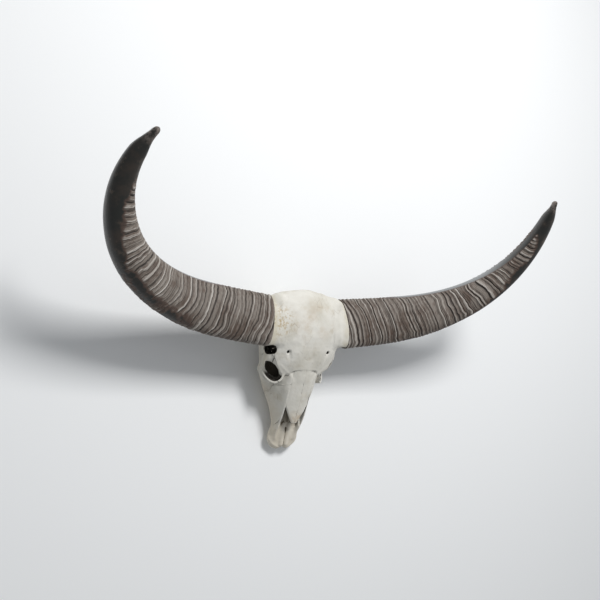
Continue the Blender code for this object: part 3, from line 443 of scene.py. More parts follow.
def nasal_slab():
    table = catmull(NASAL, 80)
    u = np.linspace(-1, 1, 61)
    z, half, middle, edge = (table[:, k : k + 1] for k in range(4))
    depth = edge + (middle - edge) * (1 - np.abs(u) ** 2.2)
    front = np.stack([half * u, -depth, z + 0 * u], -1)
    return slab(front, NASAL_WALL, (0, 1, 0))


def pedicle_solid():
    """The frontal bone's outgrowth, from the forehead to just short of the sheath's mouth."""
    along = np.array((-0.052, -0.040, -0.028, -0.016, -0.008, -0.0015))
    grow = np.array((0.000, 0.0015, 0.0025, 0.0030, 0.0036, 0.0040))
    centres, tangents, width, front = horn_path(np.zeros(len(along)))
    half_width, half_thickness = horn_half_sizes(0.0)
    around = 96
    angle, share = around_horn(around)
    grow = (grow - SHEATH_WALL)[:, None]
    wide = (half_width + grow) * np.cos(angle)
    thick = (half_thickness * share + grow) * np.sin(angle)
    rings = swept(centres + tangents * along[:, None], width, front, wide, thick)
    points = np.concatenate([rings.reshape(-1, 3), rings[:1].mean(1), rings[-1:].mean(1)])
    index = np.arange(rings.shape[0] * around).reshape(-1, around)
    after = np.roll(index, -1, axis=1)
    sides = [
        np.stack([index[:-1], after[:-1], after[1:]], -1),
        np.stack([index[:-1], after[1:], index[1:]], -1),
    ]
    first = np.stack([after[0], index[0], np.full(around, len(points) - 2)], -1)
    last = np.stack([index[-1], after[-1], np.full(around, len(points) - 1)], -1)
    return points, np.concatenate([sides[0].reshape(-1, 3), sides[1].reshape(-1, 3), first, last])


def skull_field():
    """Signed distance to the right half of the whole skull."""
    field = None
    for bone in BONE_NODES:
        points, triangles = node_mesh(right_node(bone))
        if bone == "zygomatic_bone":
            # the cheek bone's lower end lies flush with the maxilla
            sunk = smoothstep(-0.160, -0.182, points[:, 2])[:, None]
            points = points + sunk * np.array((-0.004, 0.003, 0.0))
        part = distance(points, triangles)
        field = part if field is None else join(field, part, KNIT_FILLET)
    field = blur(field, 0.0016)
    field = join(field, distance(*forehead_slab()), FILLET)
    field = join(field, distance(*flank_slab()), WIDEST_FILLET)
    field = join(field, distance(*nasal_slab()), LARGE_FILLET)
    # the foot of the horn, and the inner wall that closes the eye socket and the hollow above it
    field = join(field, distance(*pedicle_solid()), WIDEST_FILLET)
    field = join(field, ellipsoid(*SHOULDER), WIDEST_FILLET)
    field = join(field, ellipsoid(*INNER_WALL, 3.0), FILLET)
    # cups of bone close the backs of the openings; the bone material paints their insides near black as
    # painted shade
    for centre, half, long_axis, out_axis in OPENINGS:
        cup = np.abs(ellipsoid(centre, np.add(half, CUP_REACH), long_axis, out_axis, 2.2)) - CUP_WALL
        out = np.array(out_axis) / np.linalg.norm(out_axis)
        front = (GX - centre[0]) * out[0] + (-GY - centre[1]) * out[1] + (GZ - centre[2]) * out[2]
        field = join(field, np.maximum(cup, front + 0.004).astype(np.float32), SMALL_FILLET)
    # the front of the muzzle: a rounded plate, and the process that runs back from it beside the midline
    plate = ellipsoid(PLATE_CENTRE, PLATE_HALF, PLATE_LONG, PLATE_OUT, 2.4)
    field = join(field, plate, LARGE_FILLET)
    field = join(field, rod_path(*PROCESS), FILLET)
    # the notch between the nasal bone's free tip and the maxilla
    edge = NOTCH_EDGE - NOTCH_SLOPE * (NOTCH_TOP - GZ)
    notch = np.maximum(np.maximum(edge - GX, GX - NOTCH_EDGE), np.maximum(GZ - NOTCH_TOP, NOTCH_BACK + GY))
    field = carve(field, notch.astype(np.float32), 0.0015)
    # cheek bone's thick rim round the eye socket, and the bar behind it
    rim = ((0.116, 0.134, -0.128), (0.124, 0.116, -0.142), (0.123, 0.098, -0.158))
    field = join(field, rod_path(rim, (0.006, 0.007, 0.006)), 0.010)
    field = carve(field, ellipsoid(ORBIT_CENTRE, ORBIT_HALF, ORBIT_LONG, ORBIT_OUT, 1.6), SMALL_FILLET)
    field = carve(field, ellipsoid(FOSSA_CENTRE, FOSSA_HALF, FOSSA_LONG, FOSSA_OUT, 3.0), SMALL_FILLET)
    # supraorbital foramen, and the groove that runs from it towards the nose
    x, depth, z = FORAMEN
    hole = capsule((x, depth + 0.006, z), (x + 0.003, depth - 0.014, z + 0.006), 0.0045)
    field = carve(field, hole, SMALL_FILLET)
    groove = (
        (x, depth + 0.004, z),
        (x - 0.006, depth + 0.001, z - 0.022),
        (x - 0.014, depth - 0.006, z - 0.045),
    )
    field = carve(field, rod_path(groove, (0.0045, 0.004, 0.002)), FILLET)
    return field


def territories():
    """For each bone, a coarse field that is negative where that bone is the nearest."""
    low = np.array((0.5 * TERRITORY_VOXEL - TERRITORY_VOXEL, GRID_LOW[1], GRID_LOW[2]))
    shape = tuple(np.ceil((GRID_HIGH - low) / TERRITORY_VOXEL).astype(int) + 2)
    fields = []
    for bone in BONE_NODES:
        fields.append(distance(*node_mesh(right_node(bone)), low, TERRITORY_VOXEL, shape, TERRITORY_BAND))
    fields = np.array(fields)
    found = {}
    for k, bone in enumerate(BONE_NODES):
        others = np.delete(fields, k, axis=0).min(axis=0)
        found[bone] = (low, (fields[k] - others) / 2)
    return found


def resampled(low, coarse):
    """A coarse field read at every point of the sculpting grid."""
    field = coarse
    for axis in range(3):
        place = (GRID_LOW[axis] + VOXEL * np.arange(SHAPE[axis]) - low[axis]) / TERRITORY_VOXEL
        i = np.clip(place.astype(int), 0, field.shape[axis] - 2)
        t = (place - i).astype(np.float32).reshape([-1 if j == axis else 1 for j in range(3)])
        field = np.take(field, i, axis=axis) * (1 - t) + np.take(field, i + 1, axis=axis) * t
    return field


def sample(field, points):
    """A field's value at each point, as index coordinates."""
    top = np.array(field.shape) - 1.001
    p = np.clip(points, 0, top)
    i = p.astype(int)
    f = p - i
    total = np.zeros(len(p))
    for dx in (0, 1):
        for dy in (0, 1):
            for dz in (0, 1):
                weight = np.abs(1 - dx - f[:, 0]) * np.abs(1 - dy - f[:, 1]) * np.abs(1 - dz - f[:, 2])
                total += weight * field[i[:, 0] + dx, i[:, 1] + dy, i[:, 2] + dz]
    return total


def surface(field, low):
    """Points and quads of a field's zero surface, facing out."""
    padded = np.pad(field, 1, constant_values=BAND)
    grid = openvdb.FloatGrid(BAND)
    grid.copyFromArray(np.ascontiguousarray(padded))
    points, quads = grid.convertToQuads(0.0)
    points = (np.asarray(points, float) - 1) * VOXEL + low
    quads = np.asarray(quads, np.int64)
    a, b, c, d = (points[quads[:, k]] for k in range(4))
    if (np.cross(c - a, d - b) * (a + c)).sum() < 0:
        quads = quads[:, ::-1]
    return points, quads


def crisp_seams(points, field, land, low):
    """Moves the vertices beside a seam onto the sharp corner between the bone's surface and the seam."""
    def read(volume, places):
        index = (places - low) / VOXEL
        return sample(volume, index)

    near = (np.abs(read(field, points)) < 0.6 * VOXEL) & (np.abs(read(land, points)) < 0.6 * VOXEL)
    moved = points[near]
    step = 0.5 * VOXEL
    for _ in range(3):
        values, slopes = [], []
        for volume in (field, land):
            values.append(read(volume, moved))
            axes = step * np.eye(3)
            slope = [read(volume, moved + a) - read(volume, moved - a) for a in axes]
            slopes.append(np.stack(slope, -1) / (2 * step))
        value = np.stack(values, -1)
        slope = np.stack(slopes, 1)
        square = slope @ slope.transpose(0, 2, 1) + 0.05 * np.eye(2)
        move = -(slope.transpose(0, 2, 1) @ np.linalg.solve(square, value[..., None]))[..., 0]
        length = np.linalg.norm(move, axis=1, keepdims=True)
        moved = moved + move * np.minimum(1, 0.6 * VOXEL / np.maximum(length, 1e-9))
    points = points.copy()
    points[near] = moved
    return points


def lopsided(points):
    """Small shifts of the whole surface, the same for every bone, that make the two sides differ."""
    x, depth, z = points[:, 0], -points[:, 1], points[:, 2]
    moved = points.copy()
    corner = smoothstep(0.020, 0.085, x) * smoothstep(0.030, 0.070, z)
    moved[:, 2] -= 0.002 * corner
    moved[:, 0] -= 0.004 * corner
    cheek = smoothstep(0.060, 0.085, x) * smoothstep(-0.160, -0.182, z) * smoothstep(-0.235, -0.205, z)
    moved[:, 0] -= 0.010 * cheek * smoothstep(0.045, 0.070, depth)
    dent = np.exp(-(((x - 0.066) / 0.026) ** 2) - ((z - 0.050) / 0.024) ** 2) * smoothstep(0.12, 0.15, depth)
    moved[:, 1] += 0.006 * dent
    arch = smoothstep(0.085, 0.115, np.abs(x)) * smoothstep(0.125, 0.095, depth)
    arch *= smoothstep(-0.165, -0.135, z) * smoothstep(-0.02, -0.06, z)
    moved[:, 0] -= 0.012 * arch * np.sign(x)
    moved[:, 0] -= 0.003 * smoothstep(-0.31, -0.37, z)
    return moved


def weather(points, quads):
    """The bone's uneven surface: swellings, dents and pores."""
    normals = vertex_normals(points, quads)
    lift = 0.0011 * noise(points, 0.038, 11) + 0.0005 * noise(points, 0.016, 12)
    lift += 0.00022 * noise(points, 0.006, 13)
    return points + normals * lift[:, None]


def painted_cup_shade(points):
    """1 deep in the cups behind the eye socket and the hollow above it, and 0 outside them: where the bone
    material paints shade near black.
    """
    x, depth, z = np.abs(points[:, 0]), -points[:, 1], points[:, 2]
    found = np.zeros(len(points))
    for centre, half, _, out_axis in OPENINGS:
        away = np.stack([x, depth, z], -1) - centre
        out = np.array(out_axis) / np.linalg.norm(out_axis)
        inwards = -(away @ out)
        across = np.linalg.norm(away + inwards[:, None] * out, axis=1)
        near = smoothstep(half[0] + 0.010, half[0] + 0.002, across)
        found = np.maximum(found, near * smoothstep(0.003, 0.014, inwards))
    return found


def openness(points, normals, solid):
    """For each point, the share of the directions in front of it that aren't blocked by bone within 9 cm."""
    last = np.array(solid.shape) - 1
    total = np.zeros(len(points))
    weights = np.full(len(points), 1e-6)
    for way in np.ndindex(3, 3, 3):
        way = np.array(way, float) - 1
        if not way.any():
            continue
        way /= np.linalg.norm(way)
        facing = np.clip(normals @ way, 0, 1)
        free = np.ones(len(points), bool)
        for far in (0.006, 0.012, 0.020, 0.030, 0.042, 0.056, 0.072, 0.090):
            place = points + normals * 0.003 + way * far
            index = (place - GRID_LOW) / VOXEL
            index[:, 0] = np.abs(place[:, 0]) / VOXEL - 0.5
            index = np.rint(index).astype(np.int32)
            inside = ((index >= 0) & (index <= last)).all(axis=1)
            index = np.clip(index, 0, last)
            free &= ~(solid[index[:, 0], index[:, 1], index[:, 2]] & inside)
        total += facing * free
        weights += facing
    return total / weights


def bone_pieces():
    """Every bone of the skull as a mesh piece."""
    whole = skull_field()
    hollows = blur(whole, 0.004)
    solid = whole < 0
    made = []
    lands = territories()
    for bone in BONE_NODES:
        land = resampled(*lands[bone]) + np.float32(SUTURE_GAP / 2)
        if bone in MIDLINE_BONES:
            low = GRID_LOW - np.array((SHAPE[0] * VOXEL, 0, 0))
            shape, land = (np.concatenate([part[::-1], part]) for part in (whole, land))
            names = [(bone, 1)]
        else:
            low = GRID_LOW - np.array((VOXEL, 0, 0))
            shape, land = (np.concatenate([part[:1], part]) for part in (whole, land))
            across = low[0] + VOXEL * np.arange(shape.shape[0])
            land = np.maximum(land, (SUTURE_GAP / 2 - across)[:, None, None].astype(np.float32))
            names = [(bone + "_right", 1), (bone + "_left", -1)]
        found, found_quads = surface(np.maximum(shape, land), low)
        found = crisp_seams(found, shape, land, low)
        for name, side in names:
            points, quads = found, found_quads
            if side < 0:
                points = points * np.array((-1, 1, 1))
                quads = quads[:, ::-1]
            index = (points - GRID_LOW) / VOXEL
            index[:, 0] = np.abs(points[:, 0]) / VOXEL - 0.5
            cavity = np.clip(-sample(hollows, index) / 0.003, -1, 1)
            piece = mesh_object(name, lopsided(weather(points, quads)), quads)
            # the two attributes below mark where the bone material paints shade near black
            free = openness(points, vertex_normals(points, quads), solid)
            add_attribute(piece, "open", free)
            add_attribute(piece, "painted_cup_shade", painted_cup_shade(points) * smoothstep(0.95, 0.70, free))
            add_attribute(piece, "cavity", cavity)
            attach(piece, "root")
            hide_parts(name)
            made.append(piece)
    return made


# ---- horns ----


def horn_path(shares):
    """Centres, tangents, width axes and front axes of the right horn at the given shares of its length."""
    fine = np.linspace(0, 1, PATH_STEPS + 1)
    heading = np.radians(HORN_START_ANGLE + HORN_TURN * fine**HORN_TURN_POWER)
    lean = math.radians(HORN_LEAN)
    across = np.array((1.0, 0, 0))
    up = np.array((0, -math.sin(lean), math.cos(lean)))
    out = np.array((0, -math.cos(lean), -math.sin(lean)))
    steps = np.cos(heading)[:, None] * across + np.sin(heading)[:, None] * up
    flat = np.concatenate([[np.zeros(3)], np.cumsum((steps[:-1] + steps[1:]) / 2, axis=0)])
    flat = flat * HORN_LENGTH / PATH_STEPS
    x, depth, z = HORN_BASE
    centres = np.array((x, -depth, z)) + flat + HORN_BOW * (fine**2)[:, None] * out
    tangents = np.gradient(centres, axis=0)
    tangents /= np.linalg.norm(tangents, axis=1, keepdims=True)
    width = -np.sin(heading)[:, None] * across + np.cos(heading)[:, None] * up
    width -= tangents * (width * tangents).sum(1, keepdims=True)
    width /= np.linalg.norm(width, axis=1, keepdims=True)
    front = np.cross(width, tangents)
    front *= np.sign((front @ out))[:, None]
    twist = (np.radians(HORN_TWIST) * (1 - fine))[:, None]
    cos, sin = np.cos(twist), np.sin(twist)
    width, front = width * cos - front * sin, width * sin + front * cos
    place = np.asarray(shares) * PATH_STEPS
    i = np.clip(place.astype(int), 0, PATH_STEPS - 1)
    f = (place - i)[:, None]
    return [a[i] * (1 - f) + a[i + 1] * f for a in (centres, tangents, width, front)]


def horn_half_sizes(t):
    width = HORN_TIP_RADIUS + (HORN_HALF_WIDTH - HORN_TIP_RADIUS) * (1 - t**2)
    thickness = HORN_TIP_RADIUS + (HORN_HALF_THICKNESS - HORN_TIP_RADIUS) * (1 - t**3.2)
    return width, thickness


def around_horn(count):
    """Angles round a horn's section, and how far its front or its back stands out at each."""
    angle = 2 * math.pi * np.arange(count) / count
    return angle, np.where(np.sin(angle) > 0, HORN_FRONT_SHARE, HORN_BACK_SHARE)


def swept(centres, width, front, wide, thick):
    """Points of rings about a path, from their distances along its width axis and its front axis."""
    return centres[:, None] + width[:, None] * wide[..., None] + front[:, None] * thick[..., None]


def tube_quads(index):
    after = np.roll(index, -1, axis=1)
    return np.stack([index[:-1], after[:-1], after[1:], index[1:]], -1).reshape(-1, 4)


def outward_normals(points, quads, centres, around):
    """Unit normals of a tube's points, pointing away from its axis."""
    normals = vertex_normals(points, quads)
    outward = points - np.repeat(centres, around, axis=0)
    return normals * np.sign((normals * outward).sum(1))[:, None]


def ring_profile(rng, start, end, spacing, low, high):
    """Places and strengths of ridges along a horn, unevenly spaced."""
    places, strengths = [], []
    s = start
    while s < end:
        places.append(s)
        strengths.append(rng.uniform(low, high))
        s += spacing * rng.uniform(0.55, 1.5)
    return np.array(places), np.array(strengths)


def sawteeth(s, places, strengths):
    """Height of uneven ridges: each rises steeply on the side nearer the base and falls away slowly."""
    k = np.clip(np.searchsorted(places, s) - 1, 0, len(places) - 2)
    gap = places[k + 1] - places[k]
    t = np.clip((s - places[k]) / gap, 0, 1)
    crest = np.where(t < 0.32, t / 0.32, (1 - t) / 0.68)
    return strengths[k] * smoothstep(0.0, 1.0, crest) ** 0.85


def grooves(s, places, strengths, width):
    """Depth of narrow grooves."""
    k = np.clip(np.searchsorted(places, s), 1, len(places) - 1)
    near = np.where(s - places[k - 1] < places[k] - s, k - 1, k)
    return strengths[near] * np.exp(-(((s - places[near]) / width) ** 2))


def horn_surface(side, seed):
    """The sheath's outer surface: points, and the masks that its material reads."""
    rows, around = ((1100, 288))
    tip_rows = 24
    shares = np.linspace(0, 1, rows)
    caps = np.arange(1, tip_rows + 1) / (tip_rows + 0.5) * math.pi / 2
    centres, tangents, width, front = horn_path(np.concatenate([shares, np.ones(tip_rows)]))
    centres[rows:] += tangents[rows:] * (HORN_TIP_RADIUS * np.sin(caps))[:, None]
    shrink = np.concatenate([np.ones(rows), np.cos(caps)])
    t = np.concatenate([shares, np.ones(tip_rows)])
    s = np.concatenate([shares * HORN_LENGTH, HORN_LENGTH + HORN_TIP_RADIUS * np.sin(caps)])
    half_width, half_thickness = horn_half_sizes(t)
    shrink = shrink * (1 - TIP_TAPER * smoothstep(TIP_TAPER_START, 1.0, t))
    angle, share = around_horn(around)
    wide = half_width[:, None] * np.cos(angle)
    worn = 0.11 * smoothstep(0.25, 0.55, t) * smoothstep(0.95, 0.70, t)
    wide = wide * (1 - worn[:, None] * (np.cos(angle) < 0) * np.cos(angle) ** 2)
    thick = half_thickness[:, None] * share * np.sin(angle)
    points = swept(centres, width, front, wide * shrink[:, None], thick * shrink[:, None])
    size = (half_width + half_thickness) / 2

    def spread(values):
        """A value for each point, from one for each ring or one for each angle."""
        return np.broadcast_to(values, wide.shape).reshape(-1)

    size = size[:, None]
    ring = np.stack([spread(size * np.cos(angle)), spread(size * np.sin(angle)), spread(s[:, None])], -1)
    rng = np.random.default_rng(seed)
    along, share_along = spread(s[:, None]), spread(t[:, None])
    sine, cosine = spread(np.sin(angle)), spread(np.cos(angle))
    warp = 0.007 * noise(ring, (0.05, 0.05, 0.06), seed)
    warp += 0.0022 * noise(ring, (0.016, 0.016, 0.03), seed + 1)
    warp += 0.0007 * noise(ring, (0.006, 0.006, 0.012), seed + 2)
    bent = along + warp + 0.25 * wide.reshape(-1)
    patch = noise(ring, (0.045, 0.045, 0.05), seed + 3)
    bold = sawteeth(bent, *ring_profile(rng, -0.02, 0.9, 0.0145, 0.45, 1.0))
    wavy = bent + 0.0012 * noise(ring, (0.012, 0.012, 0.02), seed + 4)
    fine = sawteeth(wavy, *ring_profile(rng, -0.02, 0.9, 0.0050, 0.3, 1.0))
    cuts = grooves(bent, *ring_profile(rng, -0.02, 0.9, 0.026, 0.3, 1.0), 0.0015)
    hairs = noise(ring, (0.012, 0.012, 0.0016), seed + 5)

    # the ridged skin leaves the outer curve first, and at last the inner one too
    edge = np.interp(share_along, RIDGED_SHARES, RIDGED_EDGES)
    ragged = 0.30 * patch + 0.16 * noise(ring, (0.012, 0.012, 0.009), seed + 9)
    ridged = smoothstep(-0.26, 0.26, cosine - edge + ragged)
    rim = smoothstep(0.86, 0.97, cosine) * smoothstep(0.12, 0.30, share_along)
    ridged *= (1 - rim) * np.where(sine > 0, 1.0, 0.8)
    lift = ridged * (0.0030 * bold + 0.0012 * fine * (0.7 + 0.5 * patch) - 0.0032 * cuts + 0.00035 * hairs)
    lift += 0.0009 * noise(ring, (0.05, 0.05, 0.11), seed + 6) - 0.0012 * ridged
    lift += (1 - ridged) * 0.00012 * noise(ring, (0.003, 0.003, 0.06), seed + 7)
    wear = smoothstep(0.955, 1.0, share_along)
    lift += wear * (0.0011 * fractal(ring, 0.012, seed + 8))
    flat = points.reshape(-1, 3)
    total_rows = rows + tip_rows
    index = np.arange(total_rows * around).reshape(total_rows, around)
    quads = tube_quads(index)
    normals = outward_normals(flat, quads, centres, around)
    shape_lift = np.repeat(shrink**0.5, around)
    flat = flat + normals * (lift * shape_lift)[:, None]
    height = np.clip(0.85 * bold + 0.35 * fine - 0.9 * cuts + 0.15 * hairs - 0.15, -1, 1)
    masks = {"ridged": ridged, "height": height, "along": share_along, "upper": cosine}
    return flat, index, quads, masks, centres, around


def horn_piece(side):
    name = "horn_sheath_right" if side > 0 else "horn_sheath_left"
    seed = 40 if side > 0 else 70
    outer, index, quads, masks, centres, around = horn_surface(side, seed)
    # the mouth's lip, and the cavity behind it, which narrows and ends in a floor
    cavity_shares = np.linspace(0, CORE_REACH, 36)
    c_centres, c_tangents, c_width, c_front = horn_path(cavity_shares)
    half_width, half_thickness = horn_half_sizes(cavity_shares)
    shrink = 1 - (1 - CORE_TIP_SHARE) * (cavity_shares / CORE_REACH) ** 2
    angle, share = around_horn(around)
    wide = ((half_width - SHEATH_WALL) * shrink)[:, None] * np.cos(angle)
    thick = (half_thickness[:, None] * share - SHEATH_WALL) * shrink[:, None] * np.sin(angle)
    inner = swept(c_centres, c_width, c_front, wide, thick)
    inner[-1] += c_tangents[-1] * 2 * CORE_CLEARANCE
    inner = inner.reshape(-1, 3)
    inner_index = len(outer) + np.arange(len(inner)).reshape(-1, around)
    mouth = np.stack([np.roll(index[0], -1), index[0], inner_index[0], np.roll(inner_index[0], -1)], -1)
    after = np.roll(inner_index, -1, axis=1)
    inner_quads = np.stack([inner_index[:-1], inner_index[1:], after[1:], after[:-1]], -1).reshape(-1, 4)
    tip = len(outer) + len(inner)
    floor = tip + 1
    tip_point = centres[-1] + (centres[-1] - centres[-2]) * 0.5
    floor_point = inner[-around:].mean(0)
    last = index[-1]
    tip_fan = np.stack([last, np.roll(last, -1), np.full(around, tip)], -1)
    last = inner_index[-1]
    floor_fan = np.stack([np.roll(last, -1), last, np.full(around, floor)], -1)
    points = np.concatenate([outer, inner, [tip_point], [floor_point]])
    all_quads = np.concatenate([quads, mouth, inner_quads])
    triangles = np.concatenate([tip_fan, floor_fan])
    # facing out: the outer quads must point away from the horn's axis
    a, b, c = (points[quads[:1, k]] for k in range(3))
    outward = (a - centres[:1]).sum(0)
    if np.cross(b - a, c - a).sum(0) @ outward < 0:
        all_quads, triangles = all_quads[:, ::-1], triangles[:, ::-1]
    if side < 0:
        points = points * np.array((-1, 1, 1))
        all_quads, triangles = all_quads[:, ::-1], triangles[:, ::-1]
    piece = mesh_object(name, points, (all_quads, triangles))
    extra = len(inner) + 2
    defaults = {"ridged": 0.0, "height": -0.3, "along": 0.0, "upper": 0.0}
    for key, values in masks.items():
        tail = np.full(extra, defaults[key])
        if key == "along":
            tail[-2:] = 1.0
        add_attribute(piece, key, np.concatenate([values, tail]))
    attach(piece, "root")
    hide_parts(name)
    return piece


def core_piece(side):
    """A horn core, whose pedicle is hidden inside the frontal bone's outgrowth."""
    name = "horn_core_right" if side > 0 else "horn_core_left"
    around = 192
    neck = np.append(np.linspace(-PEDICLE_LENGTH, -0.0010, 40), -0.0008)
    inside = np.linspace(0, CORE_REACH, 60)[1:]
    centres, tangents, width, front = horn_path(np.concatenate([np.zeros(len(neck)), inside]))
    centres[: len(neck)] += tangents[: len(neck)] * neck[:, None]
    t = np.concatenate([np.zeros(len(neck)), inside])
    half_width, half_thickness = horn_half_sizes(t)
    share_back = -neck / PEDICLE_LENGTH
    flare = -CORE_CLEARANCE - PEDICLE_NECK * smoothstep(0.0, 0.1, share_back)
    grow = np.concatenate([flare, np.full(len(inside), -CORE_CLEARANCE)])
    shrink = 1 - (1 - CORE_TIP_SHARE) * (t / CORE_REACH) ** 2
    angle, share = around_horn(around)
    inset = (SHEATH_WALL - grow)[:, None]
    wide = (half_width[:, None] - inset) * shrink[:, None] * np.cos(angle)
    thick = (half_thickness[:, None] * share - inset) * shrink[:, None] * np.sin(angle)
    points = swept(centres, width, front, wide, thick)
    rows = len(t)
    flat = points.reshape(-1, 3)
    index = np.arange(rows * around).reshape(rows, around)
    quads = tube_quads(index)
    normals = outward_normals(flat, quads, centres, around)
    seat = np.repeat(np.concatenate([smoothstep(0.03, 0.15, share_back), np.zeros(len(inside))]), around)
    pits = 0.0008 * fractal(flat, 0.007, 21) - 0.0008
    flat = flat + normals * (pits * seat)[:, None]
    start, end = len(flat), len(flat) + 1
    flat = np.concatenate([flat, [flat[:around].mean(0)], [flat[-around:].mean(0)]])
    fans = np.concatenate(
        [
            np.stack([np.roll(index[0], -1), index[0], np.full(around, start)], -1),
            np.stack([index[-1], np.roll(index[-1], -1), np.full(around, end)], -1),
        ]
    )
    a, b, c = (flat[quads[0, k]] for k in range(3))
    if np.cross(b - a, c - a) @ (a - centres[0]) < 0:
        quads, fans = quads[:, ::-1], fans[:, ::-1]
    if side < 0:
        flat = flat * np.array((-1, 1, 1))
        quads, fans = quads[:, ::-1], fans[:, ::-1]
    piece = mesh_object(name, flat, (quads, fans))
    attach(piece, "root")
    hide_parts(name)
    return piece


# ---- materials ----


class Nodes:
    """Short calls for building a material's node tree."""

    def __init__(self, name):
        self.material = bpy.data.materials.new(name)
        self.material.use_nodes = True
        self.tree = self.material.node_tree
        self.tree.nodes.clear()
        self.shader = self.tree.nodes.new("ShaderNodeBsdfPrincipled")
        output = self.tree.nodes.new("ShaderNodeOutputMaterial")
        self.tree.links.new(self.shader.outputs[0], output.inputs[0])
        self.place = self.tree.nodes.new("ShaderNodeTexCoord").outputs["Object"]

    def link(self, value, socket):
        if isinstance(value, (int, float)):
            socket.default_value = value
        elif isinstance(value, tuple):
            socket.default_value = (*value, 1.0) if len(value) == 3 else value
        else:
            self.tree.links.new(value, socket)

    def attribute(self, name):
        node = self.tree.nodes.new("ShaderNodeAttribute")
        node.attribute_name = name
        return node.outputs["Fac"]

    def texture(self, kind, scale, stretch):
        """A texture node read at the point of the frame, squeezed along each axis by stretch."""
        place = self.place
        if stretch is not None:
            mapping = self.tree.nodes.new("ShaderNodeMapping")
            mapping.inputs["Scale"].default_value = stretch
            self.tree.links.new(place, mapping.inputs["Vector"])
            place = mapping.outputs[0]
        node = self.tree.nodes.new(kind)
        self.tree.links.new(place, node.inputs["Vector"])
        node.inputs["Scale"].default_value = scale
        return node

    def noise(self, scale, detail=3.0, roughness=0.5, stretch=None):
        node = self.texture("ShaderNodeTexNoise", scale, stretch)
        node.inputs["Detail"].default_value = detail
        node.inputs["Roughness"].default_value = roughness
        return node.outputs["Fac"]

    def voronoi(self, scale, feature="F1", stretch=None):
        node = self.texture("ShaderNodeTexVoronoi", scale, stretch)
        node.feature = feature
        return node.outputs["Distance"]

    def ramp(self, value, low, high):
        """0 below low and 1 above high, or the other way round where low is the larger."""
        node = self.tree.nodes.new("ShaderNodeMapRange")
        node.interpolation_type = "SMOOTHSTEP"
        if low > high:
            low, high = high, low
            node.inputs["To Min"].default_value = 1.0
            node.inputs["To Max"].default_value = 0.0
        node.inputs["From Min"].default_value = low
        node.inputs["From Max"].default_value = high
        self.link(value, node.inputs["Value"])
        return node.outputs["Result"]

    def math(self, kind, a, b=0.0):
        node = self.tree.nodes.new("ShaderNodeMath")
        node.operation = kind
        self.link(a, node.inputs[0])
        self.link(b, node.inputs[1])
        return node.outputs[0]

    def mix(self, share, a, b, kind="MIX"):
        node = self.tree.nodes.new("ShaderNodeMix")
        node.data_type = "RGBA"
        node.blend_type = kind
        self.link(share, node.inputs["Factor"])
        self.link(a, node.inputs["A"])
        self.link(b, node.inputs["B"])
        return node.outputs["Result"]

    def times(self, a, b):
        return self.math("MULTIPLY", a, b)

    def stains_and_painted_light(self, colour, mask, share, tint):
        """The colour turned towards a tint by that share wherever the mask is 1: real stains, and also
        painted shade and painted sheen.
        """
        return self.mix(self.times(mask, share), colour, tint)

    def near(self, centre, reach):
        """1 at a point of the frame, fading to 0 at that distance."""
        node = self.tree.nodes.new("ShaderNodeVectorMath")
        node.operation = "DISTANCE"
        self.tree.links.new(self.place, node.inputs[0])
        node.inputs[1].default_value = centre
        return self.ramp(node.outputs["Value"], reach, reach * 0.25)

    def axis(self, name):
        node = self.tree.nodes.new("ShaderNodeSeparateXYZ")
        self.tree.links.new(self.place, node.inputs[0])
        return node.outputs[name]

    def bump(self, height, strength, distance, under=None):
        node = self.tree.nodes.new("ShaderNodeBump")
        node.inputs["Strength"].default_value = strength
        node.inputs["Distance"].default_value = distance
        self.link(height, node.inputs["Height"])
        if under is not None:
            self.tree.links.new(under, node.inputs["Normal"])
        return node.outputs["Normal"]

    def finish(self, colour, roughness, normal=None):
        self.link(colour, self.shader.inputs["Base Color"])
        self.link(roughness, self.shader.inputs["Roughness"])
        if normal is not None:
            self.tree.links.new(normal, self.shader.inputs["Normal"])
        return self.material


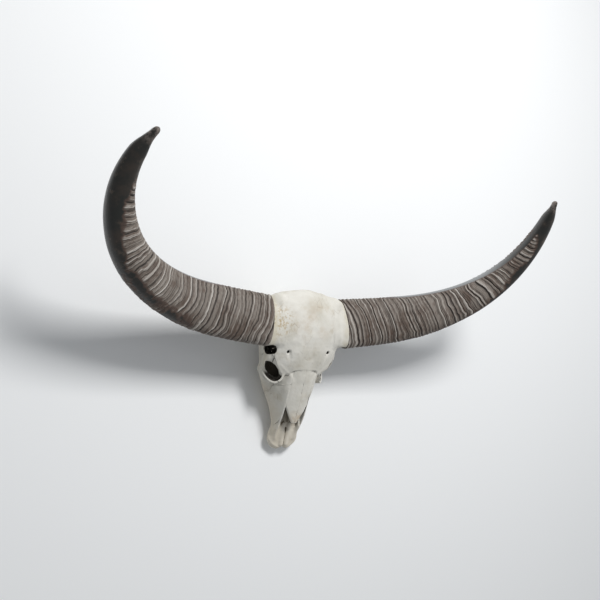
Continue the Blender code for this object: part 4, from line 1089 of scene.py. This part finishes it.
def bone_material(name, inside=None):
    n = Nodes(name)
    colour = n.mix(n.ramp(n.noise(9, 4, 0.6), 0.35, 0.7), (0.68, 0.665, 0.615), (0.56, 0.54, 0.475))
    colour = n.stains_and_painted_light(colour, n.ramp(n.noise(28, 5, 0.65), 0.52, 0.75), 0.55, (0.52, 0.47, 0.38))
    forehead = n.times(n.near((0.0, -0.19, -0.02), 0.10), n.ramp(n.noise(16, 5, 0.7), 0.42, 0.68))
    colour = n.stains_and_painted_light(colour, forehead, 0.55, (0.50, 0.42, 0.32))
    specks = n.times(n.near((-0.115, -0.17, -0.02), 0.075), n.ramp(n.noise(120, 3, 0.7), 0.5, 0.62))
    colour = n.stains_and_painted_light(colour, specks, 0.8, (0.36, 0.25, 0.10))
    nose = n.times(n.near((0.0, -0.10, -0.325), 0.045), n.ramp(n.noise(40, 4, 0.6), 0.3, 0.7))
    colour = n.stains_and_painted_light(colour, nose, 0.75, (0.45, 0.34, 0.21))
    across = n.math("ABSOLUTE", n.axis("X"))
    foot = n.times(n.ramp(across, 0.116, 0.138), n.ramp(n.noise(26, 4, 0.6), 0.30, 0.60))
    colour = n.stains_and_painted_light(colour, foot, 0.55, (0.52, 0.47, 0.34))
    cheek = n.times(n.near((-0.09, -0.09, -0.21), 0.08), n.ramp(n.noise(22, 4, 0.6), 0.25, 0.60))
    colour = n.stains_and_painted_light(colour, cheek, 0.5, (0.47, 0.45, 0.39))
    # Darker brown in the hollows and paler on the rounded ridges of the bone.
    hollow = n.attribute("cavity")
    colour = n.stains_and_painted_light(colour, n.ramp(hollow, 0.05, 0.8), 0.75, (0.36, 0.31, 0.24))
    colour = n.stains_and_painted_light(colour, n.ramp(hollow, -0.2, -0.8), 0.5, (0.78, 0.77, 0.73))
    # Painted shade: bone that little of the surroundings can reach, and the insides of the cups behind the
    # openings, are painted near black. A given inside paints the whole material dark as shade.
    if inside is None:
        inside = n.math("MAXIMUM", n.ramp(n.attribute("open"), 0.66, 0.26), n.attribute("painted_cup_shade"))
    colour = n.stains_and_painted_light(colour, inside, 0.96, (0.030, 0.025, 0.020))
    # Darker and browner towards the wall.
    back = n.ramp(n.axis("Y"), -0.10, -0.04)
    colour = n.stains_and_painted_light(colour, back, 0.45, (0.55, 0.47, 0.35))
    cracks = n.ramp(n.voronoi(60, "DISTANCE_TO_EDGE", (1.0, 1.0, 0.28)), 0.018, 0.0)
    cracks = n.times(cracks, n.ramp(n.noise(14, 2), 0.52, 0.66))
    colour = n.stains_and_painted_light(colour, cracks, 0.55, (0.28, 0.23, 0.17))
    pores = n.ramp(n.voronoi(420), 0.32, 0.08)
    normal = n.bump(n.noise(260, 6, 0.7, (1, 1, 0.45)), 0.35, 0.0006)
    normal = n.bump(pores, 0.25, -0.0004, normal)
    normal = n.bump(cracks, 0.6, -0.0006, normal)
    roughness = n.mix(n.noise(60, 3), (0.62, 0.62, 0.62), (0.82, 0.82, 0.82))
    n.shader.inputs["Specular IOR Level"].default_value = 0.35
    return n.finish(colour, roughness, normal)


def core_material():
    n = Nodes("porous_core_bone")
    colour = n.mix(n.ramp(n.noise(60, 4, 0.6), 0.35, 0.7), (0.74, 0.71, 0.62), (0.60, 0.55, 0.44))
    pores = n.ramp(n.voronoi(260), 0.40, 0.10)
    colour = n.stains_and_painted_light(colour, pores, 0.5, (0.32, 0.26, 0.17))
    normal = n.bump(pores, 0.7, -0.0009)
    normal = n.bump(n.noise(180, 5, 0.7), 0.4, 0.0006, normal)
    return n.finish(colour, 0.85, normal)


def horn_material():
    n = Nodes("weathered_horn")
    ridged, height = n.attribute("ridged"), n.attribute("height")
    along, upper = n.attribute("along"), n.attribute("upper")
    brown = n.ramp(n.noise(16, 5, 0.65), 0.40, 0.68)
    dry = n.mix(brown, (0.185, 0.160, 0.138), (0.090, 0.062, 0.046))
    dry = n.stains_and_painted_light(dry, n.ramp(n.noise(45, 5, 0.7), 0.5, 0.72), 0.6, (0.085, 0.050, 0.035))
    # The ridge crests are painted pale and the grooves near black: the horn's weathered tone, together with a
    # painted highlight on the crests and painted shade in the grooves.
    dry = n.mix(n.ramp(height, 0.35, 0.90), dry, (0.46, 0.43, 0.395))
    dry = n.mix(n.ramp(height, 0.22, -0.25), dry, (0.032, 0.024, 0.019))
    smooth = n.mix(n.ramp(n.noise(22, 5, 0.6), 0.40, 0.72), (0.013, 0.014, 0.012), (0.034, 0.025, 0.019))
    inner = n.times(n.ramp(upper, 0.35, 0.9), n.ramp(along, 0.95, 0.55))
    smooth = n.stains_and_painted_light(smooth, inner, 0.8, (0.16, 0.165, 0.165))
    marks = n.times(n.ramp(n.noise(34, 6, 0.75), 0.55, 0.68), n.ramp(along, 0.5, 0.75))
    smooth = n.stains_and_painted_light(smooth, marks, 0.6, (0.10, 0.075, 0.055))
    worn = n.times(n.ramp(along, 0.965, 1.0), n.ramp(n.noise(70, 4, 0.7), 0.4, 0.62))
    smooth = n.stains_and_painted_light(smooth, worn, 0.7, (0.30, 0.25, 0.22))
    # Painted sheen: a pale grey strip along the upper, inner edge of the smooth horn stands in for the
    # reflection of the light.
    painted_sheen_edge = n.times(n.ramp(upper, 0.80, 0.95), n.ramp(along, 0.80, 0.60))
    smooth = n.stains_and_painted_light(smooth, painted_sheen_edge, 0.8, (0.27, 0.28, 0.285))
    colour = n.mix(n.ramp(ridged, 0.30, 0.85), smooth, dry)
    seam = n.times(n.ramp(ridged, 0.05, 0.35), n.ramp(ridged, 0.95, 0.60))
    colour = n.stains_and_painted_light(colour, seam, 0.6, (0.085, 0.050, 0.036))
    rough_dry = n.mix(n.noise(90, 3), (0.55, 0.55, 0.55), (0.80, 0.80, 0.80))
    rough_smooth = n.mix(n.noise(50, 4), (0.34, 0.34, 0.34), (0.50, 0.50, 0.50))
    roughness = n.mix(n.ramp(ridged, 0.1, 0.7), rough_smooth, rough_dry)
    normal = n.bump(n.noise(420, 4, 0.7), 0.30, 0.0004)
    n.shader.inputs["Specular IOR Level"].default_value = 0.5
    return n.finish(colour, roughness, normal)


def enamel_material():
    n = Nodes("stained_enamel")
    streaks = n.ramp(n.noise(90, 4, 0.6, (1, 0.3, 1)), 0.35, 0.7)
    colour = n.mix(streaks, (0.72, 0.66, 0.52), (0.42, 0.33, 0.20))
    crown = n.ramp(n.axis("Y"), -0.012, -0.004)
    colour = n.stains_and_painted_light(colour, crown, 0.6, (0.16, 0.11, 0.06))
    return n.finish(colour, 0.32, n.bump(n.noise(200, 4, 0.6, (1, 0.25, 1)), 0.4, 0.0005))


def steel_material():
    n = Nodes("zinc_steel")
    colour = n.mix(n.ramp(n.voronoi(160), 0.2, 0.7), (0.60, 0.61, 0.63), (0.44, 0.46, 0.48))
    n.shader.inputs["Metallic"].default_value = 1.0
    roughness = n.mix(n.noise(80, 4), (0.30, 0.30, 0.30), (0.5, 0.5, 0.5))
    return n.finish(colour, roughness, n.bump(n.noise(500, 2), 0.1, 0.0002))


# ---- pieces ----

BONE = bone_material("dry_bone")
# Painted shade: the vomer and the nasal conchae are painted dark all over, standing in for the shade deep
# inside the nose.
SHADE_PAINTED_BONE = bone_material("bone_painted_dark_as_shade", 0.7)
CORE = core_material()
HORN = horn_material()
ENAMEL = enamel_material()
STEEL = steel_material()

for piece in bone_pieces():
    piece.data.materials.append(BONE)
for side in (1, -1):
    horn_piece(side).data.materials.append(HORN)
    core_piece(side).data.materials.append(CORE)

KEPT = {"hanger": STEEL, "premolar": ENAMEL, "molar": ENAMEL, "vomer": SHADE_PAINTED_BONE, "nasal_concha": SHADE_PAINTED_BONE}
for name, node in frame["nodes"].items():
    for start, look in KEPT.items():
        if name.startswith(start):
            node.data.materials.clear()
            node.data.materials.append(look)


# ---- stage ----


def wall_material():
    """A plain painted wall that shows only its front, so that the skull's back can be seen from behind it."""
    n = Nodes("painted_wall")
    n.link((0.86, 0.875, 0.885), n.shader.inputs["Base Color"])
    n.shader.inputs["Roughness"].default_value = 0.9
    tree = n.tree
    geometry = tree.nodes.new("ShaderNodeNewGeometry")
    clear = tree.nodes.new("ShaderNodeBsdfTransparent")
    mix = tree.nodes.new("ShaderNodeMixShader")
    tree.links.new(geometry.outputs["Backfacing"], mix.inputs[0])
    tree.links.new(n.shader.outputs[0], mix.inputs[1])
    tree.links.new(clear.outputs[0], mix.inputs[2])
    output = next(node for node in tree.nodes if node.type == "OUTPUT_MATERIAL")
    tree.links.new(mix.outputs[0], output.inputs[0])
    return n.material


def area_light(name, place, aim, size, power, colour=(1, 1, 1)):
    data = bpy.data.lights.new(name, "AREA")
    data.shape = "RECTANGLE"
    data.size, data.size_y = size
    data.energy = power
    data.color = colour
    light = bpy.data.objects.new(name, data)
    bpy.context.scene.collection.objects.link(light)
    light.location = place
    light.rotation_mode = "QUATERNION"
    light.rotation_quaternion = (Vector(aim) - Vector(place)).to_track_quat("-Z", "Y")
    return light


WALL_HALF = 6.0
WALL_Y = 0.003  # just behind the bracket's wall face
corners = ((-WALL_HALF, -WALL_HALF), (WALL_HALF, -WALL_HALF), (WALL_HALF, WALL_HALF), (-WALL_HALF, WALL_HALF))
wall = mesh_object(
    "wall",
    np.array([(x, WALL_Y, z) for x, z in corners]),
    np.array(((0, 1, 2, 3),)),
    False,
)
wall.data.materials.append(wall_material())

area_light("key_light", (0.4, -3.1, 1.95), (0, 0, -0.1), (1.0, 1.0), 106, (1.0, 0.99, 0.98))
area_light("fill_light", (2.6, -3.2, 0.6), (0, 0, 0), (2.5, 2.5), 10, (1.0, 1.0, 1.0))
back_light = area_light("back_light", (0.0, 2.6, 1.4), (0, 0, 0), (3.0, 3.0), 16)
object_only = bpy.data.collections.new("object_only")
for thing in bpy.context.scene.objects:
    if thing.type == "MESH" and thing != wall:
        object_only.objects.link(thing)
back_light.light_linking.receiver_collection = object_only
back_light.light_linking.blocker_collection = object_only
world = bpy.data.worlds.new("pale_surround")
world.use_nodes = True
world.node_tree.nodes["Background"].inputs["Color"].default_value = (0.95, 0.975, 1.0, 1)
world.node_tree.nodes["Background"].inputs["Strength"].default_value = 0.34
bpy.context.scene.world = world

camera_data = bpy.data.cameras.new("camera")
camera_data.lens = 50
camera_data.sensor_width = 36
camera = bpy.data.objects.new("camera", camera_data)
bpy.context.scene.collection.objects.link(camera)
camera.location = (-1.484, -2.3013, -0.2050)
camera.rotation_mode = "QUATERNION"
camera.rotation_quaternion = Vector((0.5612, 0.8218, 0.0987)).to_track_quat("-Z", "Y")
bpy.context.scene.camera = camera
bpy.context.scene.view_settings.view_transform = "Standard"
